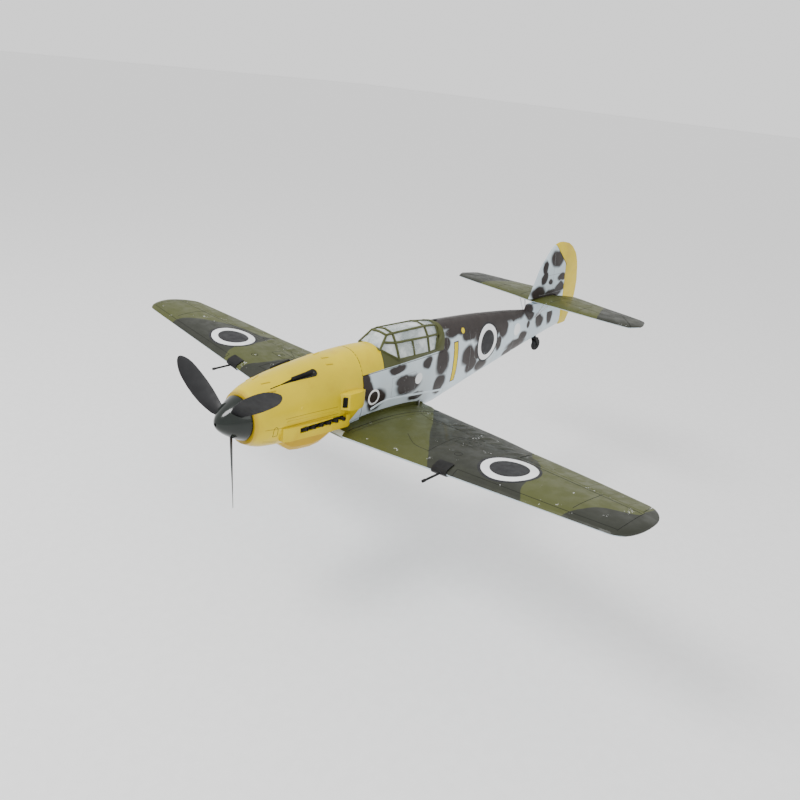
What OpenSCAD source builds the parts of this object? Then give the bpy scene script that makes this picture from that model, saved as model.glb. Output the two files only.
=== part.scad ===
// Foam radio-control model of a 1940s single-engine fighter: low wing, inline-engine cowl,
// three-blade propeller, greenhouse canopy, retracted main wheels and a steerable tail wheel.
// Millimetres, +Z up, nose towards -Y, left wing towards +X.
// Inside the modules Y is the station aft of the spinner tip and Z is the height over the
// thrust line. place() then puts the origin on the flat belly pad.

/* [Wing] */
// Half of the wing span
half_span = 590; // [582:1:598]
// Wing dihedral, rise per millimetre of span
dihedral_rise = 0.125; // [0.11:0.005:0.14]
// Wing thickness at the root, part of the chord
wing_thickness = 0.135; // [0.12:0.005:0.145]
// Diameter of each carbon spar tube
spar_d = 10; // [8:1:10]

/* [Propeller] */
// Propeller diameter (12 inch)
propeller_d = 304.8; // [290:1:306]
// Number of blades
blade_count = 3; // [3]
// Widest blade chord
blade_chord = 35; // [28:1:38]

/* [Shells] */
// Wall of the foam fuselage and cowl
foam_wall = 7; // [5:0.5:8]
// Gap between a control surface and its bay
surface_gap = 0.8; // [0.6:0.1:1]

/* [Main gear] */
// Main wheel diameter
main_wheel_d = 60; // [54:1:62]
// Main wheel width
main_wheel_w = 15; // [12:1:16]
// Leg length, retract pivot to wheel axle
leg_length = 112; // [106:1:114]

/* [Linkages] */
// Radius of the servo arms and control horns
horn_r = 13; // [12:0.5:14]
// Pushrod wire diameter
wire_d = 1.5; // [1.2:0.1:1.6]

/* [Hidden] */

$fn = 48;

// --- where the origin sits: bottom centre of the belly pad ---
belly_station = 335;
belly_z = -92;

module place() translate([0, -belly_station, -belly_z]) children();
module both_sides() {
    children();
    mirror([1, 0, 0]) children();
}

// --- lofting: rings of points joined into one closed solid, capped by strips ---
function quad(a, b, c, d) = [[a, b, c], [a, c, d]];
module loft(rings) {
    rows = len(rings);
    n = len(rings[0]);
    half = floor(n / 2);
    odd = n - 2 * half;
    last = (rows - 1) * n;
    skin = [for (i = [0 : rows - 2], j = [0 : n - 1]) let (k = (j + 1) % n)
        each quad(i * n + j, (i + 1) * n + j, (i + 1) * n + k, i * n + k)];
    front = [for (k = [0 : half - 2]) each quad(k, k + 1, n - 2 - k, n - 1 - k)];
    back = [for (k = [0 : half - 2])
        each quad(last + k, last + n - 1 - k, last + n - 2 - k, last + k + 1)];
    tips = odd == 0 ? [] : [[half - 1, half, half + 1],
        [last + half - 1, last + half + 1, last + half]];
    polyhedron(points = [for (r = rings) each r], faces = concat(skin, front, back, tips));
}
// rectangular bar section in the XZ plane at station y, for loft() towards +Y
function bar_ring(y, x0, x1, z0, z1) =
    [[x0, y, z0], [x0, y, z1], [x1, y, z1], [x1, y, z0]];

// --- fuselage lines by station: top, belly, half width, height of the widest point ---
top_line = [[46, 41], [52, 46], [60, 50], [72, 54], [100, 61], [140, 67], [190, 71.5],
    [258, 75], [300, 74.5], [331, 72], [369, 80], [460, 84], [507, 86], [574, 83],
    [640, 79], [676, 76], [720, 72], [769, 67], [832, 58.5], [880, 53], [960, 48], [1010, 46]];
belly_line = [[46, -43], [52, -49], [68, -55], [113, -61], [160, -65], [220, -70],
    [270, -76], [330, -84], [420, -88], [507, -88], [574, -75.5], [640, -63], [711, -51],
    [769, -41], [832, -29.5], [914, -15.5], [1010, 0]];
side_line = [[46, 40], [52, 43.5], [60, 46], [80, 48.5], [120, 50], [200, 52], [274, 51.5],
    [369, 48], [460, 42.5], [507, 39.5], [574, 35], [640, 30.5], [720, 24.5], [800, 18.5],
    [880, 12.5], [960, 8], [1010, 5.5]];
waist_line = [[46, 0], [100, -6], [200, -10], [500, -8], [640, 2], [800, 12], [1010, 24]];
corner_power = [[46, 2], [80, 2.15], [200, 2.35], [500, 2.35], [640, 2.2], [900, 2.1]];

function ramp(y, t) = (lookup(y - 6, t) + 2 * lookup(y, t) + lookup(y + 6, t)) / 4;
function hull_point(y, a, inset) =
    let (top = ramp(y, top_line) - inset, low = ramp(y, belly_line) + inset,
         w = ramp(y, side_line) - inset, mid = ramp(y, waist_line),
         p = 2 / ramp(y, corner_power), s = sin(a), c = cos(a))
    [sign(s) * w * pow(abs(s), p), y,
     c > 0 ? mid + (top - mid) * pow(c, p) : mid - (mid - low) * pow(-c, p)];
function wall_at(y, wall) = min(wall, 0.55 * ramp(y, side_line));
// arc of wall from angle a0 to a1 (0 is the top, 90 the left side)
function wall_ring(y, a0, a1, n, wall) = let (in = wall_at(y, wall), da = (a1 - a0) / n)
    concat([for (k = [0 : n]) hull_point(y, a0 + da * k, 0)],
           [for (k = [n : -1 : 0]) hull_point(y, a0 + da * k, in)]);
function side_x(y, z) =
    let (top = ramp(y, top_line), w = ramp(y, side_line), mid = ramp(y, waist_line),
         p = ramp(y, corner_power))
    w * pow(1 - pow((z - mid) / (top - mid), p), 1 / p);

// --- fuselage: two foam halves glued on the centre line ---
firewall_y = 273;
tail_y = 998;
seam_z = 36;
hatch_y0 = 273;
hatch_y1 = 507;
fuselage_stations = [for (k = [0 : 30]) firewall_y + (tail_y - firewall_y) * k / 30];

module fuselage_half() {
    difference() {
        loft([for (y = fuselage_stations) wall_ring(y, 0, 180, 15, foam_wall)]);
        hatch_opening();
        wing_saddle();
        fin_socket();
        translate([0, steer_y, -30]) cylinder(r = 2.56, h = 38);
    }
}
module hatch_opening() {
    translate([-60, hatch_y0 - 5, seam_z]) cube([120, hatch_y1 - hatch_y0 + 5.3, 80]);
}
module fuselage_left() {
    color("lightsteelblue") place() fuselage_half();
}
module fuselage_right() {
    color("lightsteelblue") place() difference() {
        mirror([1, 0, 0]) fuselage_half();
        at_elevator_servo() servo_pocket(6.3);
        at_elevator_servo() translate([-4, -11, -6.3]) cube([12, servo_l + 10, 12.6]);
        at_rudder_servo() servo_pocket(30);
        at_rudder_servo() translate([-3, -12, -40]) cube([8, 24, 44]);
        at_rudder_horn() translate([-0.6, -2, -20]) cube([horn_t + 1.2, 12, 20]);
    }
}

// --- cowl: upper and lower foam covers, split along the crease ---
cowl_stations = [46, 48.5, 52, 57, 64, 74, 88, 104, 122, 142, 162, 184, 206, 228, 250, 272.5];
split_a = 92;

module cowl_upper() {
    color("gold") place() difference() {
        loft([for (y = cowl_stations) wall_ring(y, -split_a, split_a, 26, foam_wall - 1)]);
        both_sides() gun_trough_solid(0.15);
    }
}
module cowl_lower() {
    color("gold") place() difference() {
        loft([for (y = cowl_stations) wall_ring(y, split_a, 360 - split_a, 22, foam_wall - 1)]);
        wing_saddle();
    }
}
module gun_trough_solid(grow) {
    hull() {
        translate([25.5, 86, 48.5]) sphere(r = 1.2 + grow, $fn = 16);
        translate([26.5, 172, 56]) sphere(r = 8 + grow, $fn = 16);
    }
}
module gun_troughs() {
    color("darkslategray") place() both_sides() difference() {
        gun_trough_solid(0);
        hull() {
            translate([26.5, 88, 52]) sphere(r = 2, $fn = 16);
            translate([30, 168, 63.5]) sphere(r = 7.5, $fn = 16);
        }
    }
}

// --- cowl details ---
cooler_y = [112, 122, 134, 150, 178, 198, 212, 224];
cooler_low = [-60, -69, -77.5, -81, -84, -82.5, -77, -71.5];
module chin_cooler() {
    color("gold") place() difference() {
        loft([for (k = [0 : len(cooler_y) - 1])
            let (y = cooler_y[k], z = cooler_low[k], w = 27, top = -40)
            [[w - 3, y, top], [w, y, z + 9], [w - 5, y, z + 1.5], [w - 11, y, z],
             [11 - w, y, z], [5 - w, y, z + 1.5], [-w, y, z + 9], [3 - w, y, top]]]);
        cowl_core(0.1);
    }
}
fairing_y0 = 94;
fairing_y1 = 240;
module exhaust_fairings() {
    color("gold") place() both_sides() difference() {
        loft([
            bar_ring(fairing_y0, 38, 51, -38, -14),
            bar_ring(fairing_y0 + 10, 38, 54, -39, -14.5),
            bar_ring(fairing_y1 - 50, 40, 57.5, -44, -20),
            bar_ring(fairing_y1 - 6, 42, 57.5, -46, -23),
            bar_ring(fairing_y1, 44, 54.5, -45, -25)]);
        cowl_core(0.1);
        translate([50.6, stack_y0 - 7, stack_z - 4.5]) cube([20, 101, 9]);
    }
}
module cowl_core(grow) {
    loft([for (y = [88, 122, 162, 206, 250, 272.5])
        [for (k = [0 : 25]) hull_point(y, 360 * k / 26, -grow)]]);
}
stack_count = 6;
stack_x = 50.8;
stack_y0 = 134;
stack_z = -25;
module exhaust_stacks() {
    color("black") place() both_sides()
        for (k = [0 : stack_count - 1])
            translate([stack_x, stack_y0 + 17 * k, stack_z - 0.9 * k]) difference() {
                rotate([-20, 78, 0]) cylinder(r = 3.4, h = 10);
                rotate([-20, 78, 0]) translate([0, 0, 5]) cylinder(r = 2.3, h = 8);
                translate([-20, -10, -10]) cube([20.2, 20, 20]);
            }
}
function intake_ring(y0, y1, x, z0, z1) = [[44, y0, z0], [44, y0, z1], [x, y1, z1], [x, y1, z0]];
module supercharger_intake() {
    color("gold") place() difference() {
        loft([
            intake_ring(212, 228, 64, -12, 17),
            intake_ring(216, 232, 65.5, -13, 18),
            intake_ring(240, 248, 65.5, -14.5, 17.5),
            intake_ring(256, 262, 62, -14.5, 16.5),
            intake_ring(271, 271.5, 56, -13, 14)]);
        cowl_core(0.1);
        translate([54.6, 208, -7.5]) cube([6.4, 26, 19]);
    }
}

// --- wing ---
root_x = 52;
wing_le_y = 226;
trailing_edge = [[0, 484], [52, 472], [63, 466], [153, 446], [246, 427], [332, 403],
    [387, 391.5], [449, 377], [505, 363], [566, 347], [600, 338]];
tip_y = 297;
tip_round = 33;
function tip_bend(x) = x < half_span - tip_round ? 1
    : sqrt(max(0.004, 1 - pow((x - half_span + tip_round) / tip_round, 2)));
function wing_le(x) = tip_y - (tip_y - wing_le_y) * pow(tip_bend(x), 0.8);
function wing_te(x) = tip_y + (lookup(x, trailing_edge) - tip_y) * tip_bend(x);
function wing_z(x, y) = -66 + dihedral_rise * (x - 45) - 0.035 * (y - 225);
function half_thick(u) =
    2.5 * (0.2969 * sqrt(u) - 0.126 * u - 0.3516 * u * u + 0.2843 * pow(u, 3)
    - 0.1015 * pow(u, 4)) * 2;
function camber(u) = 0.08 * u * (1 - u);
function spread(k, n) = (1 - cos(180 * k / n)) / 2;
wing_chord_points = 12;
function wing_ring(x) =
    let (le = wing_le(x), chord = wing_te(x) - le, m = wing_chord_points,
         thick = (wing_thickness - 0.025 * x / half_span) * chord)
    concat(
        [for (k = [m : -1 : 0]) let (u = spread(k, m), y = le + u * chord)
            [x, y, wing_z(x, y) + camber(u) * chord + half_thick(u) * thick]],
        [for (k = [1 : m]) let (u = spread(k, m), y = le + u * chord)
            [x, y, wing_z(x, y) + camber(u) * chord - half_thick(u) * thick]]);
wing_stations = concat([root_x, 63, 90], [for (x = [120 : 35 : 540]) x],
    [for (a = [0 : 11.25 : 90]) half_span - tip_round + tip_round * sin(a)]);
module wing_blank(from = 0) {
    loft([for (x = wing_stations) if (x >= from) wing_ring(x)]);
}

// aileron hinge line, on the mid surface of the wing
hinge_a = [336, 354];
hinge_b = [566, 311.5];
function mid_z(p) = let (le = wing_le(p.x), c = wing_te(p.x) - le)
    wing_z(p.x, p.y) + camber((p.y - le) / c) * c;
hinge_a3 = [hinge_a.x, hinge_a.y, mid_z(hinge_a)];
hinge_b3 = [hinge_b.x, hinge_b.y, mid_z(hinge_b)];
hinge_d = hinge_b3 - hinge_a3;
hinge_len = norm(hinge_d);
aileron_nose_a = 6.9;
aileron_nose_b = 4.9;
module aileron_frame() {
    translate(hinge_a3)
        rotate([0, -asin(hinge_d.z / hinge_len), atan2(hinge_d.y, hinge_d.x)]) children();
}
function nose_ring(x, r) = [for (k = [0 : 23]) [x, r * cos(15 * k), r * sin(15 * k)]];
module aileron_region(shrink, nose) {
    translate([0, 0, -120]) linear_extrude(240)
        polygon([
            [hinge_a.x + shrink, hinge_a.y], [hinge_b.x - shrink, hinge_b.y],
            [hinge_b.x - 4 - shrink, hinge_b.y + 60], [hinge_a.x - 4.5 + shrink, hinge_a.y + 70]]);
    aileron_frame() loft([
        nose_ring(shrink, aileron_nose_a - nose), nose_ring(hinge_len - shrink, aileron_nose_b - nose)]);
}
module wing_panel() {
    difference() {
        wing_blank();
        aileron_region(0, 0);
        gear_well();
        at_aileron_servo() servo_pocket(30);
        at_aileron_servo() translate([-2.2, -9, -26]) cube([8, 20, 31]);
        at_aileron_horn() translate([-0.6, -10, -20]) cube([horn_t + 1.2, 10, 20]);
        spar(0);
    }
}
module wing_left() {
    color("darkolivegreen") place() wing_panel();
}
module wing_right() {
    color("darkolivegreen") place() mirror([1, 0, 0]) wing_panel();
}
spar_y = 338;
spar_x0 = 12;
spar_length = 290;
module spar(clearance, ends = 0) {
    translate([spar_x0, spar_y, mid_z([root_x, spar_y]) - (root_x - spar_x0) * dihedral_rise])
        rotate([0, 90 - atan(dihedral_rise), 0])
            translate([0, 0, -ends]) cylinder(r = spar_d / 2 + clearance, h = spar_length + 2 * ends);
}
module wing_spars() {
    color("dimgray") place() both_sides() difference() {
        spar(0);
        spar(-1, 1);
    }
}

// wing centre block between the wing roots, with the belly pad
belly_profile = [[226, -70], [240, -76], [260, -82], [290, -87], [335, -89.5], [400, -90],
    [450, -89.5], [480, -88.5]];
function center_ring(x) =
    let (le = wing_le_y, te = wing_te(root_x), chord = te - le, m = wing_chord_points,
         thick = wing_thickness * chord, mix = pow(cos(90 * abs(x) / root_x), 0.5))
    concat(
        [for (k = [m : -1 : 0]) let (u = spread(k, m), y = le + u * chord)
            [x, y, wing_z(root_x, y) + camber(u) * chord + half_thick(u) * thick]],
        [for (k = [1 : m]) let (u = spread(k, m), y = le + u * chord,
            z = wing_z(root_x, y) + camber(u) * chord - half_thick(u) * thick)
            [x, y, z + mix * (min(z - 2, lookup(y, belly_profile)) - z)]]);
module center_blank() {
    loft([for (x = [-52, -51, -48, -42, -33, -18, 0, 18, 33, 42, 48, 51, 52]) center_ring(x)]);
}
pad_w = 44;
pad_l = 130;
module wing_center() {
    color("lightsteelblue") place() difference() {
        union() {
            center_blank();
            translate([-pad_w / 2, belly_station - pad_l / 2, belly_z]) cube([pad_w, pad_l, 20]);
        }
        translate([-30, 252, -78]) cube([60, 62, 60]);
        translate([-30, 362, -78]) cube([60, 76, 60]);
        both_sides() spar(0);
        both_sides() for (y = screw_stations) translate([38, y, -100]) {
            cylinder(r = 2.1, h = 80);
            cylinder(r = 4.2, h = 22);
        }
    }
}
module wing_saddle() {
    chord = wing_te(root_x) - wing_le_y;
    rotate([90, 0, 90]) translate([0, 0, -60]) linear_extrude(120)
        polygon(concat([[wing_te(root_x) + 0.4, -130]],
            [for (k = [wing_chord_points : -1 : 0]) let (p = center_ring(root_x)[wing_chord_points - k])
                [p.y + (k == 0 ? -0.4 : k == wing_chord_points ? 0.4 : 0), p.z + 0.1]],
            [[wing_le_y - 0.4, -130]]));
}
screw_stations = [300, 446];
module wing_screws() {
    color("silver") place() both_sides() for (y = screw_stations) translate([38, y, -78.2]) {
        difference() {
            union() {
                cylinder(r = 2, h = 22);
                translate([0, 0, -2.8]) cylinder(r = 3.8, h = 2.9);
            }
            translate([0, 0, -3]) cylinder(r = 1.5, h = 2, $fn = 6);
        }
    }
}

// --- ailerons ---
module aileron_solid() {
    intersection() {
        wing_blank(300);
        aileron_region(surface_gap + 0.8, surface_gap);
    }
}
module aileron_left() {
    color("olivedrab") place() difference() {
        aileron_solid();
        at_aileron_horn() horn_root(0.05);
    }
}
module aileron_right() {
    color("olivedrab") place() mirror([1, 0, 0]) difference() {
        aileron_solid();
        at_aileron_horn() horn_root(0.05);
    }
}

// --- control linkages: servo arm, rod and horn form a parallelogram ---
// each piece is drawn about its own pivot axis X, with its arm towards -Z
horn_t = 1.6;
pin_r = wire_d / 2;
hole_r = pin_r + 0.06;
aileron_reach = [-46, 0];
elevator_reach = [-110, -50];
rudder_reach = [230, -9];
module at_reach(reach) translate([0, reach.x, reach.y]) children();
module at_aileron_horn() aileron_frame() translate([70, 0, 0]) children();
module at_aileron_servo() at_aileron_horn() at_reach(aileron_reach) children();
module at_elevator_horn() translate([-19, elevator_y, tail_z]) mirror([1, 0, 0]) children();
module at_elevator_servo() at_elevator_horn() at_reach(elevator_reach) children();
module at_rudder_horn()
    translate([0, rudder_y(rudder_horn_z), rudder_horn_z]) rotate([rudder_tilt, 0, 0])
        rotate([0, 0, 180]) rotate([0, -90, 0]) children();
module at_rudder_servo() at_rudder_horn() at_reach(rudder_reach) children();

module x_rod(r, x0, x1) translate([x0, 0, 0]) rotate([0, 90, 0]) cylinder(r = r, h = x1 - x0);
module horn_root(grow) {
    translate([-grow, -4 - grow, -6 - grow]) cube([horn_t + 2 * grow, 9 + 2 * grow, 5 + 2 * grow]);
}
module horn() {
    difference() {
        union() {
            horn_root(0);
            hull() {
                translate([0, -3.5, -7]) cube([horn_t, 8, 1]);
                translate([0, 0, -horn_r]) x_rod(2.3, 0, horn_t);
            }
        }
        translate([0, 0, -horn_r]) x_rod(hole_r, -1, horn_t + 1);
    }
}
spline_r = 2;
module servo_arm() {
    difference() {
        union() {
            x_rod(3.4, 0, horn_t);
            hull() {
                translate([0, 0, -3]) x_rod(2.6, 0, horn_t);
                translate([0, 0, -horn_r]) x_rod(2, 0, horn_t);
            }
        }
        translate([0, 0, -horn_r]) x_rod(hole_r, -1, horn_t + 1);
        x_rod(spline_r + 0.05, -1, horn_t + 1);
    }
}
rod_side = horn_t + 1.6;
// wire from the arm at reach to the horn at the frame's origin, with a bent pin at each end
module pushrod(reach) {
    translate([0, 0, -horn_r]) {
        translate([rod_side, reach.x, reach.y]) rotate([atan2(reach.x, -reach.y), 0, 0])
            cylinder(r = pin_r, h = norm(reach));
        for (end = [[0, 0], reach]) at_reach(end) x_rod(pin_r, -0.7, rod_side + 0.6);
    }
}
// micro servo with its output shaft on X and its case towards -X
servo_l = 23;
servo_w = 12;
servo_h = 20;
module servo() {
    translate([-servo_h - 1.6, -6, -servo_w / 2]) cube([servo_h, servo_l, servo_w]);
    difference() {
        translate([-7, -10.5, -servo_w / 2]) cube([2, servo_l + 9, servo_w]);
        for (y = [-8.4, servo_l - 3.7]) translate([0, y, 0]) x_rod(1.1, -8, -4);
    }
    x_rod(5.2, -1.7, -0.5);
    x_rod(spline_r, -0.6, horn_t + 0.8);
}
module servo_pocket(open_depth) {
    translate([-servo_h - 1.9, -11, -open_depth])
        cube([servo_h + 1.9, servo_l + 10, open_depth + servo_w / 2 + 0.3]);
}
module aileron_servos() {
    color("royalblue") place() both_sides() at_aileron_servo() servo();
}
module tail_servos() {
    color("royalblue") place() {
        at_elevator_servo() servo();
        at_rudder_servo() servo();
    }
}
module aileron_left_horn() color("white") place() at_aileron_horn() horn();
module aileron_right_horn() color("white") place() mirror([1, 0, 0]) at_aileron_horn() horn();
module elevator_horn() color("white") place() at_elevator_horn() horn();
module rudder_horn() color("white") place() at_rudder_horn() horn();
module aileron_left_arm() color("white") place() at_aileron_servo() servo_arm();
module aileron_right_arm() color("white") place() mirror([1, 0, 0]) at_aileron_servo() servo_arm();
module elevator_arm() color("white") place() at_elevator_servo() servo_arm();
module rudder_arm() color("white") place() at_rudder_servo() servo_arm();
module aileron_left_rod() color("silver") place() at_aileron_horn() pushrod(aileron_reach);
module aileron_right_rod()
    color("silver") place() mirror([1, 0, 0]) at_aileron_horn() pushrod(aileron_reach);
module elevator_rod() color("silver") place() at_elevator_horn() pushrod(elevator_reach);
module rudder_rod() color("silver") place() at_rudder_horn() pushrod(rudder_reach);

// --- cannon covers on the leading edge ---
pad_x = [255, 284];
pad_y = 245;
module cannon_pad() {
    difference() {
        loft([for (x = pad_x) [for (p = wing_ring(x)) let (g = p.z > mid_z([x, p.y]) ? 1.6 : -1)
            [x, p.y - 2 * (1 - (p.y - wing_le_y) / 160), p.z + g]]]);
        translate([200, pad_y, -100]) cube([150, 300, 200]);
        translate([200, wing_le_y + 8, -152]) cube([150, 300, 152 - 41]);
        loft([for (x = [240, 300]) wing_ring(x)]);
        cannon_axis() cylinder(r = 2, h = 60);
    }
}
module cannon_axis() translate([272.5, 184, -39]) rotate([-90, 0, 0]) children();
module cannon_pads() color("black") place() both_sides() cannon_pad();
module cannon_barrels() {
    color("black") place() both_sides() cannon_axis() difference() {
        union() {
            cylinder(r = 1.95, h = 40);
            cylinder(r = 2.5, h = 6);
        }
        translate([0, 0, -1]) cylinder(r = 1.2, h = 12);
    }
}

// --- tail ---
tail_z = 74;
elevator_y = 950;
tail_half = 247;
stab_le = [[0, 864], [54, 872], [138, 877], [200, 881], [234, 886], [247, 912]];
stab_te = [[0, 999], [46, 997], [120, 983], [215, 971], [236, 962], [247, 930]];
stab_thickness = 0.085;
function stab_ring(x) =
    let (le = lookup(abs(x), stab_le), chord = lookup(abs(x), stab_te) - le, m = 9,
         thick = stab_thickness * (chord + 14))
    concat(
        [for (k = [m : -1 : 0]) let (u = spread(k, m))
            [x, le + u * chord, tail_z + half_thick(u) * thick]],
        [for (k = [1 : m]) let (u = spread(k, m))
            [x, le + u * chord, tail_z - half_thick(u) * thick]]);
stab_stations = [-247, -244, -239, -233, -220, -180, -138, -100, -54, 0,
    54, 100, 138, 180, 220, 233, 239, 244, 247];
module stab_blank(from = -300) loft([for (x = stab_stations) if (x >= from) stab_ring(x)]);
elevator_nose = 4.6;
horn_cut = [[188, elevator_y], [245, 880]];
module elevator_region(shrink, nose) {
    translate([0, 0, tail_z - 20]) linear_extrude(40)
        polygon([
            [11 + shrink, elevator_y], [horn_cut[0].x + shrink, horn_cut[0].y],
            [horn_cut[1].x + shrink, horn_cut[1].y], [tail_half + 5, 880], [tail_half + 5, 1010],
            [42 + shrink, 1010], [13 + shrink, elevator_y + 14]]);
    translate([0, elevator_y, tail_z])
        x_rod(elevator_nose - nose, 11 + shrink, horn_cut[0].x + 1 - shrink);
}
module stabilizer() {
    color("olivedrab") place() difference() {
        stab_blank();
        both_sides() elevator_region(0, 0);
        translate([-46, elevator_y - 4, tail_z - 20]) cube([92, 70, 40]);
        translate([-250, 893, tail_z]) x_rod(2.5, 40, 460);
        at_elevator_horn() translate([-0.6, -10, -20]) cube([horn_t + 1.2, 12, 20]);
    }
}
module elevator_halves() {
    color("olivedrab") place() difference() {
        both_sides() intersection() {
            stab_blank(0);
            elevator_region(surface_gap, surface_gap);
        }
        translate([0, elevator_y, tail_z]) x_rod(1.5, -40, 40);
        at_elevator_horn() horn_root(0.05);
    }
}
module elevator_joiner() {
    color("dimgray") place() translate([0, elevator_y, tail_z]) x_rod(1.5, -40, 40);
}
// two wire struts under each side of the stabilizer
struts = [[[15, 863.5, 38], [38, 873, 70.3]], [[13.5, 868, 38], [26.4, 876, 70]]];
strut_r = 1.1;
module stab_struts() {
    color("lightgray") place() both_sides() for (p = struts) let (d = p[1] - p[0])
        translate(p[0]) rotate([0, acos(d.z / norm(d)), atan2(d.y, d.x)])
            cylinder(r = strut_r, h = norm(d), $fn = 16);
}

// fin and rudder
rudder_tilt = 7.2;
rudder_horn_z = 25;
function rudder_y(z) = 1003 - (z - 5) * tan(rudder_tilt);
fin_le = [[40, 826], [60, 838], [150, 877], [190, 911], [200, 925], [204, 942]];
fin_te = [[-3, 1036], [17, 1047], [40, 1056], [70, 1059], [100, 1057], [144, 1045],
    [170, 1030], [190, 1006], [199, 986], [204, 958]];
fin_heights = [40, 60, 80, 100, 120, 135, 150, 162, 172, 181, 189, 195, 199, 202, 204];
function blade_ring(z, le, te, ratio, m) = let (chord = te - le, thick = ratio * (chord + 22))
    concat(
        [for (k = [m : -1 : 0]) let (u = spread(k, m)) [-half_thick(u) * thick, le + u * chord, z]],
        [for (k = [1 : m]) let (u = spread(k, m)) [half_thick(u) * thick, le + u * chord, z]]);
module fin_blank() {
    loft([for (z = fin_heights) blade_ring(z, lookup(z, fin_le), lookup(z, fin_te), 0.068, 9)]);
}
module tail_blank() {
    fin_blank();
    loft([for (z = [-3, 8, 20, 30, 40.2]) let (y = rudder_y(z) - 40)
        blade_ring(z, y, lookup(z, fin_te), 0.085, 9)]);
}
rudder_nose = 5.4;
horn_balance = [[rudder_y(147), 147], [922, 203]];
module rudder_region(shrink, nose) {
    rotate([90, 0, 90]) translate([0, 0, -30]) linear_extrude(60)
        polygon([
            [rudder_y(-4), -4 + shrink], [rudder_y(147), 147 + 3.8 * shrink],
            [horn_balance[1].x, horn_balance[1].y + shrink], [horn_balance[1].x, 215],
            [1080, 215], [1080, -4 + shrink]]);
    translate([0, rudder_y(-4), -4]) rotate([rudder_tilt, 0, 0])
        translate([0, 0, shrink]) cylinder(r = rudder_nose - nose, h = 157 - 10 * shrink);
}
module fin() {
    color("slategray") place() difference() {
        fin_blank();
        rudder_region(0, 0);
        translate([-20, 840, tail_z - 6.6]) cube([40, 116, 13.2]);
        translate([-20, rudder_y(60) - rudder_nose - 1, 0]) cube([40, 30, 52]);
        fuselage_core();
    }
}
// closed solid of the fuselage's outer shape at the tail
module fuselage_core() {
    loft([for (y = [780, 820, 860, 900, 950, 1000])
        [for (k = [0 : 25]) hull_point(y, 360 * k / 26, 0)]]);
}
module fin_socket() {
    rotate([90, 0, 90]) translate([0, 0, -20]) linear_extrude(40)
        polygon([[rudder_y(-20) - rudder_nose - 0.9, -20], [1060, -20], [1060, 90],
            [rudder_y(90) - rudder_nose - 0.9, 90]]);
}
module rudder() {
    color("gold") place() difference() {
        intersection() {
            tail_blank();
            rudder_region(surface_gap, surface_gap);
        }
        at_rudder_horn() horn_root(0.05);
    }
}

// --- tail wheel ---
tail_wheel_axle = [0, 915, -41];
tail_wheel_d = 30;
tail_wheel_w = 9;
steer_y = 906;
module tail_wheel_fork() {
    color("black") place() difference() {
        union() {
            translate([0, steer_y, -24]) cylinder(r = 2.5, h = 30);
            translate([-7, steer_y - 4, -25]) cube([14, 11, 3]);
            for (x = [-7, 5.2]) hull() {
                translate([x, steer_y - 4, -25]) cube([1.8, 11, 2.5]);
                translate([0, tail_wheel_axle.y, tail_wheel_axle.z]) x_rod(2.8, x, x + 1.8);
            }
        }
        translate([0, tail_wheel_axle.y, tail_wheel_axle.z]) x_rod(1.2, -8, 8);
    }
}
module tail_wheel() {
    color("dimgray") place() translate(tail_wheel_axle) rotate([0, 90, 0]) {
        wheel_solid(tail_wheel_d, tail_wheel_w, 1.15);
        translate([0, 0, -7.5]) cylinder(r = 1.15, h = 15);
    }
}
// tyre and hub profile revolved about Z
module wheel_solid(d, w, bore) {
    r = d / 2;
    rotate_extrude() union() {
        translate([bore, -w / 2]) square([r * 0.55, w]);
        translate([r - w / 2, 0]) circle(r = w / 2);
        translate([r * 0.5, -w / 2 + 0.01]) square([r * 0.5 - w / 2, w - 0.02]);
    }
}

// --- retracting main gear, folded outwards into the wing ---
gear_pivot_x = 76;
gear_pivot_y = 279;
function low_z(x, y) = let (le = wing_le(x), c = wing_te(x) - le, u = (y - le) / c)
    wing_z(x, y) + camber(u) * c - half_thick(u) * (wing_thickness - 0.025 * x / half_span) * c;
wheel_drop = main_wheel_w / 2 + 1.6;
module gear_frame() {
    translate([gear_pivot_x, gear_pivot_y, low_z(130, gear_pivot_y)
        - dihedral_rise * (130 - gear_pivot_x) + wheel_drop])
        rotate([0, -atan(dihedral_rise), 0]) children();
}
arm_z = main_wheel_w / 2 + 3;
module gear_well() {
    gear_frame() {
        translate([leg_length, 0, -40]) cylinder(r = main_wheel_d / 2 + 2, h = 40 + main_wheel_w / 2 + 1);
        translate([-21, -12, -40]) cube([31, 24, 49]);
        translate([0, -5, -40]) cube([leg_length + 6, 10, 40 + arm_z + 2.8]);
        translate([0, -11, -40]) cube([leg_length - 20, 22, 34]);
    }
}
module retract_unit() {
    difference() {
        union() {
            translate([-20, -10, -6]) cube([9, 20, 13]);
            for (y = [-10, 6]) translate([-12, y, -6]) cube([18, 4, 13]);
        }
        rotate([90, 0, 0]) cylinder(r = 2.05, h = 30, center = true);
    }
}
module retract_units() color("dimgray") place() both_sides() gear_frame() retract_unit();
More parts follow.
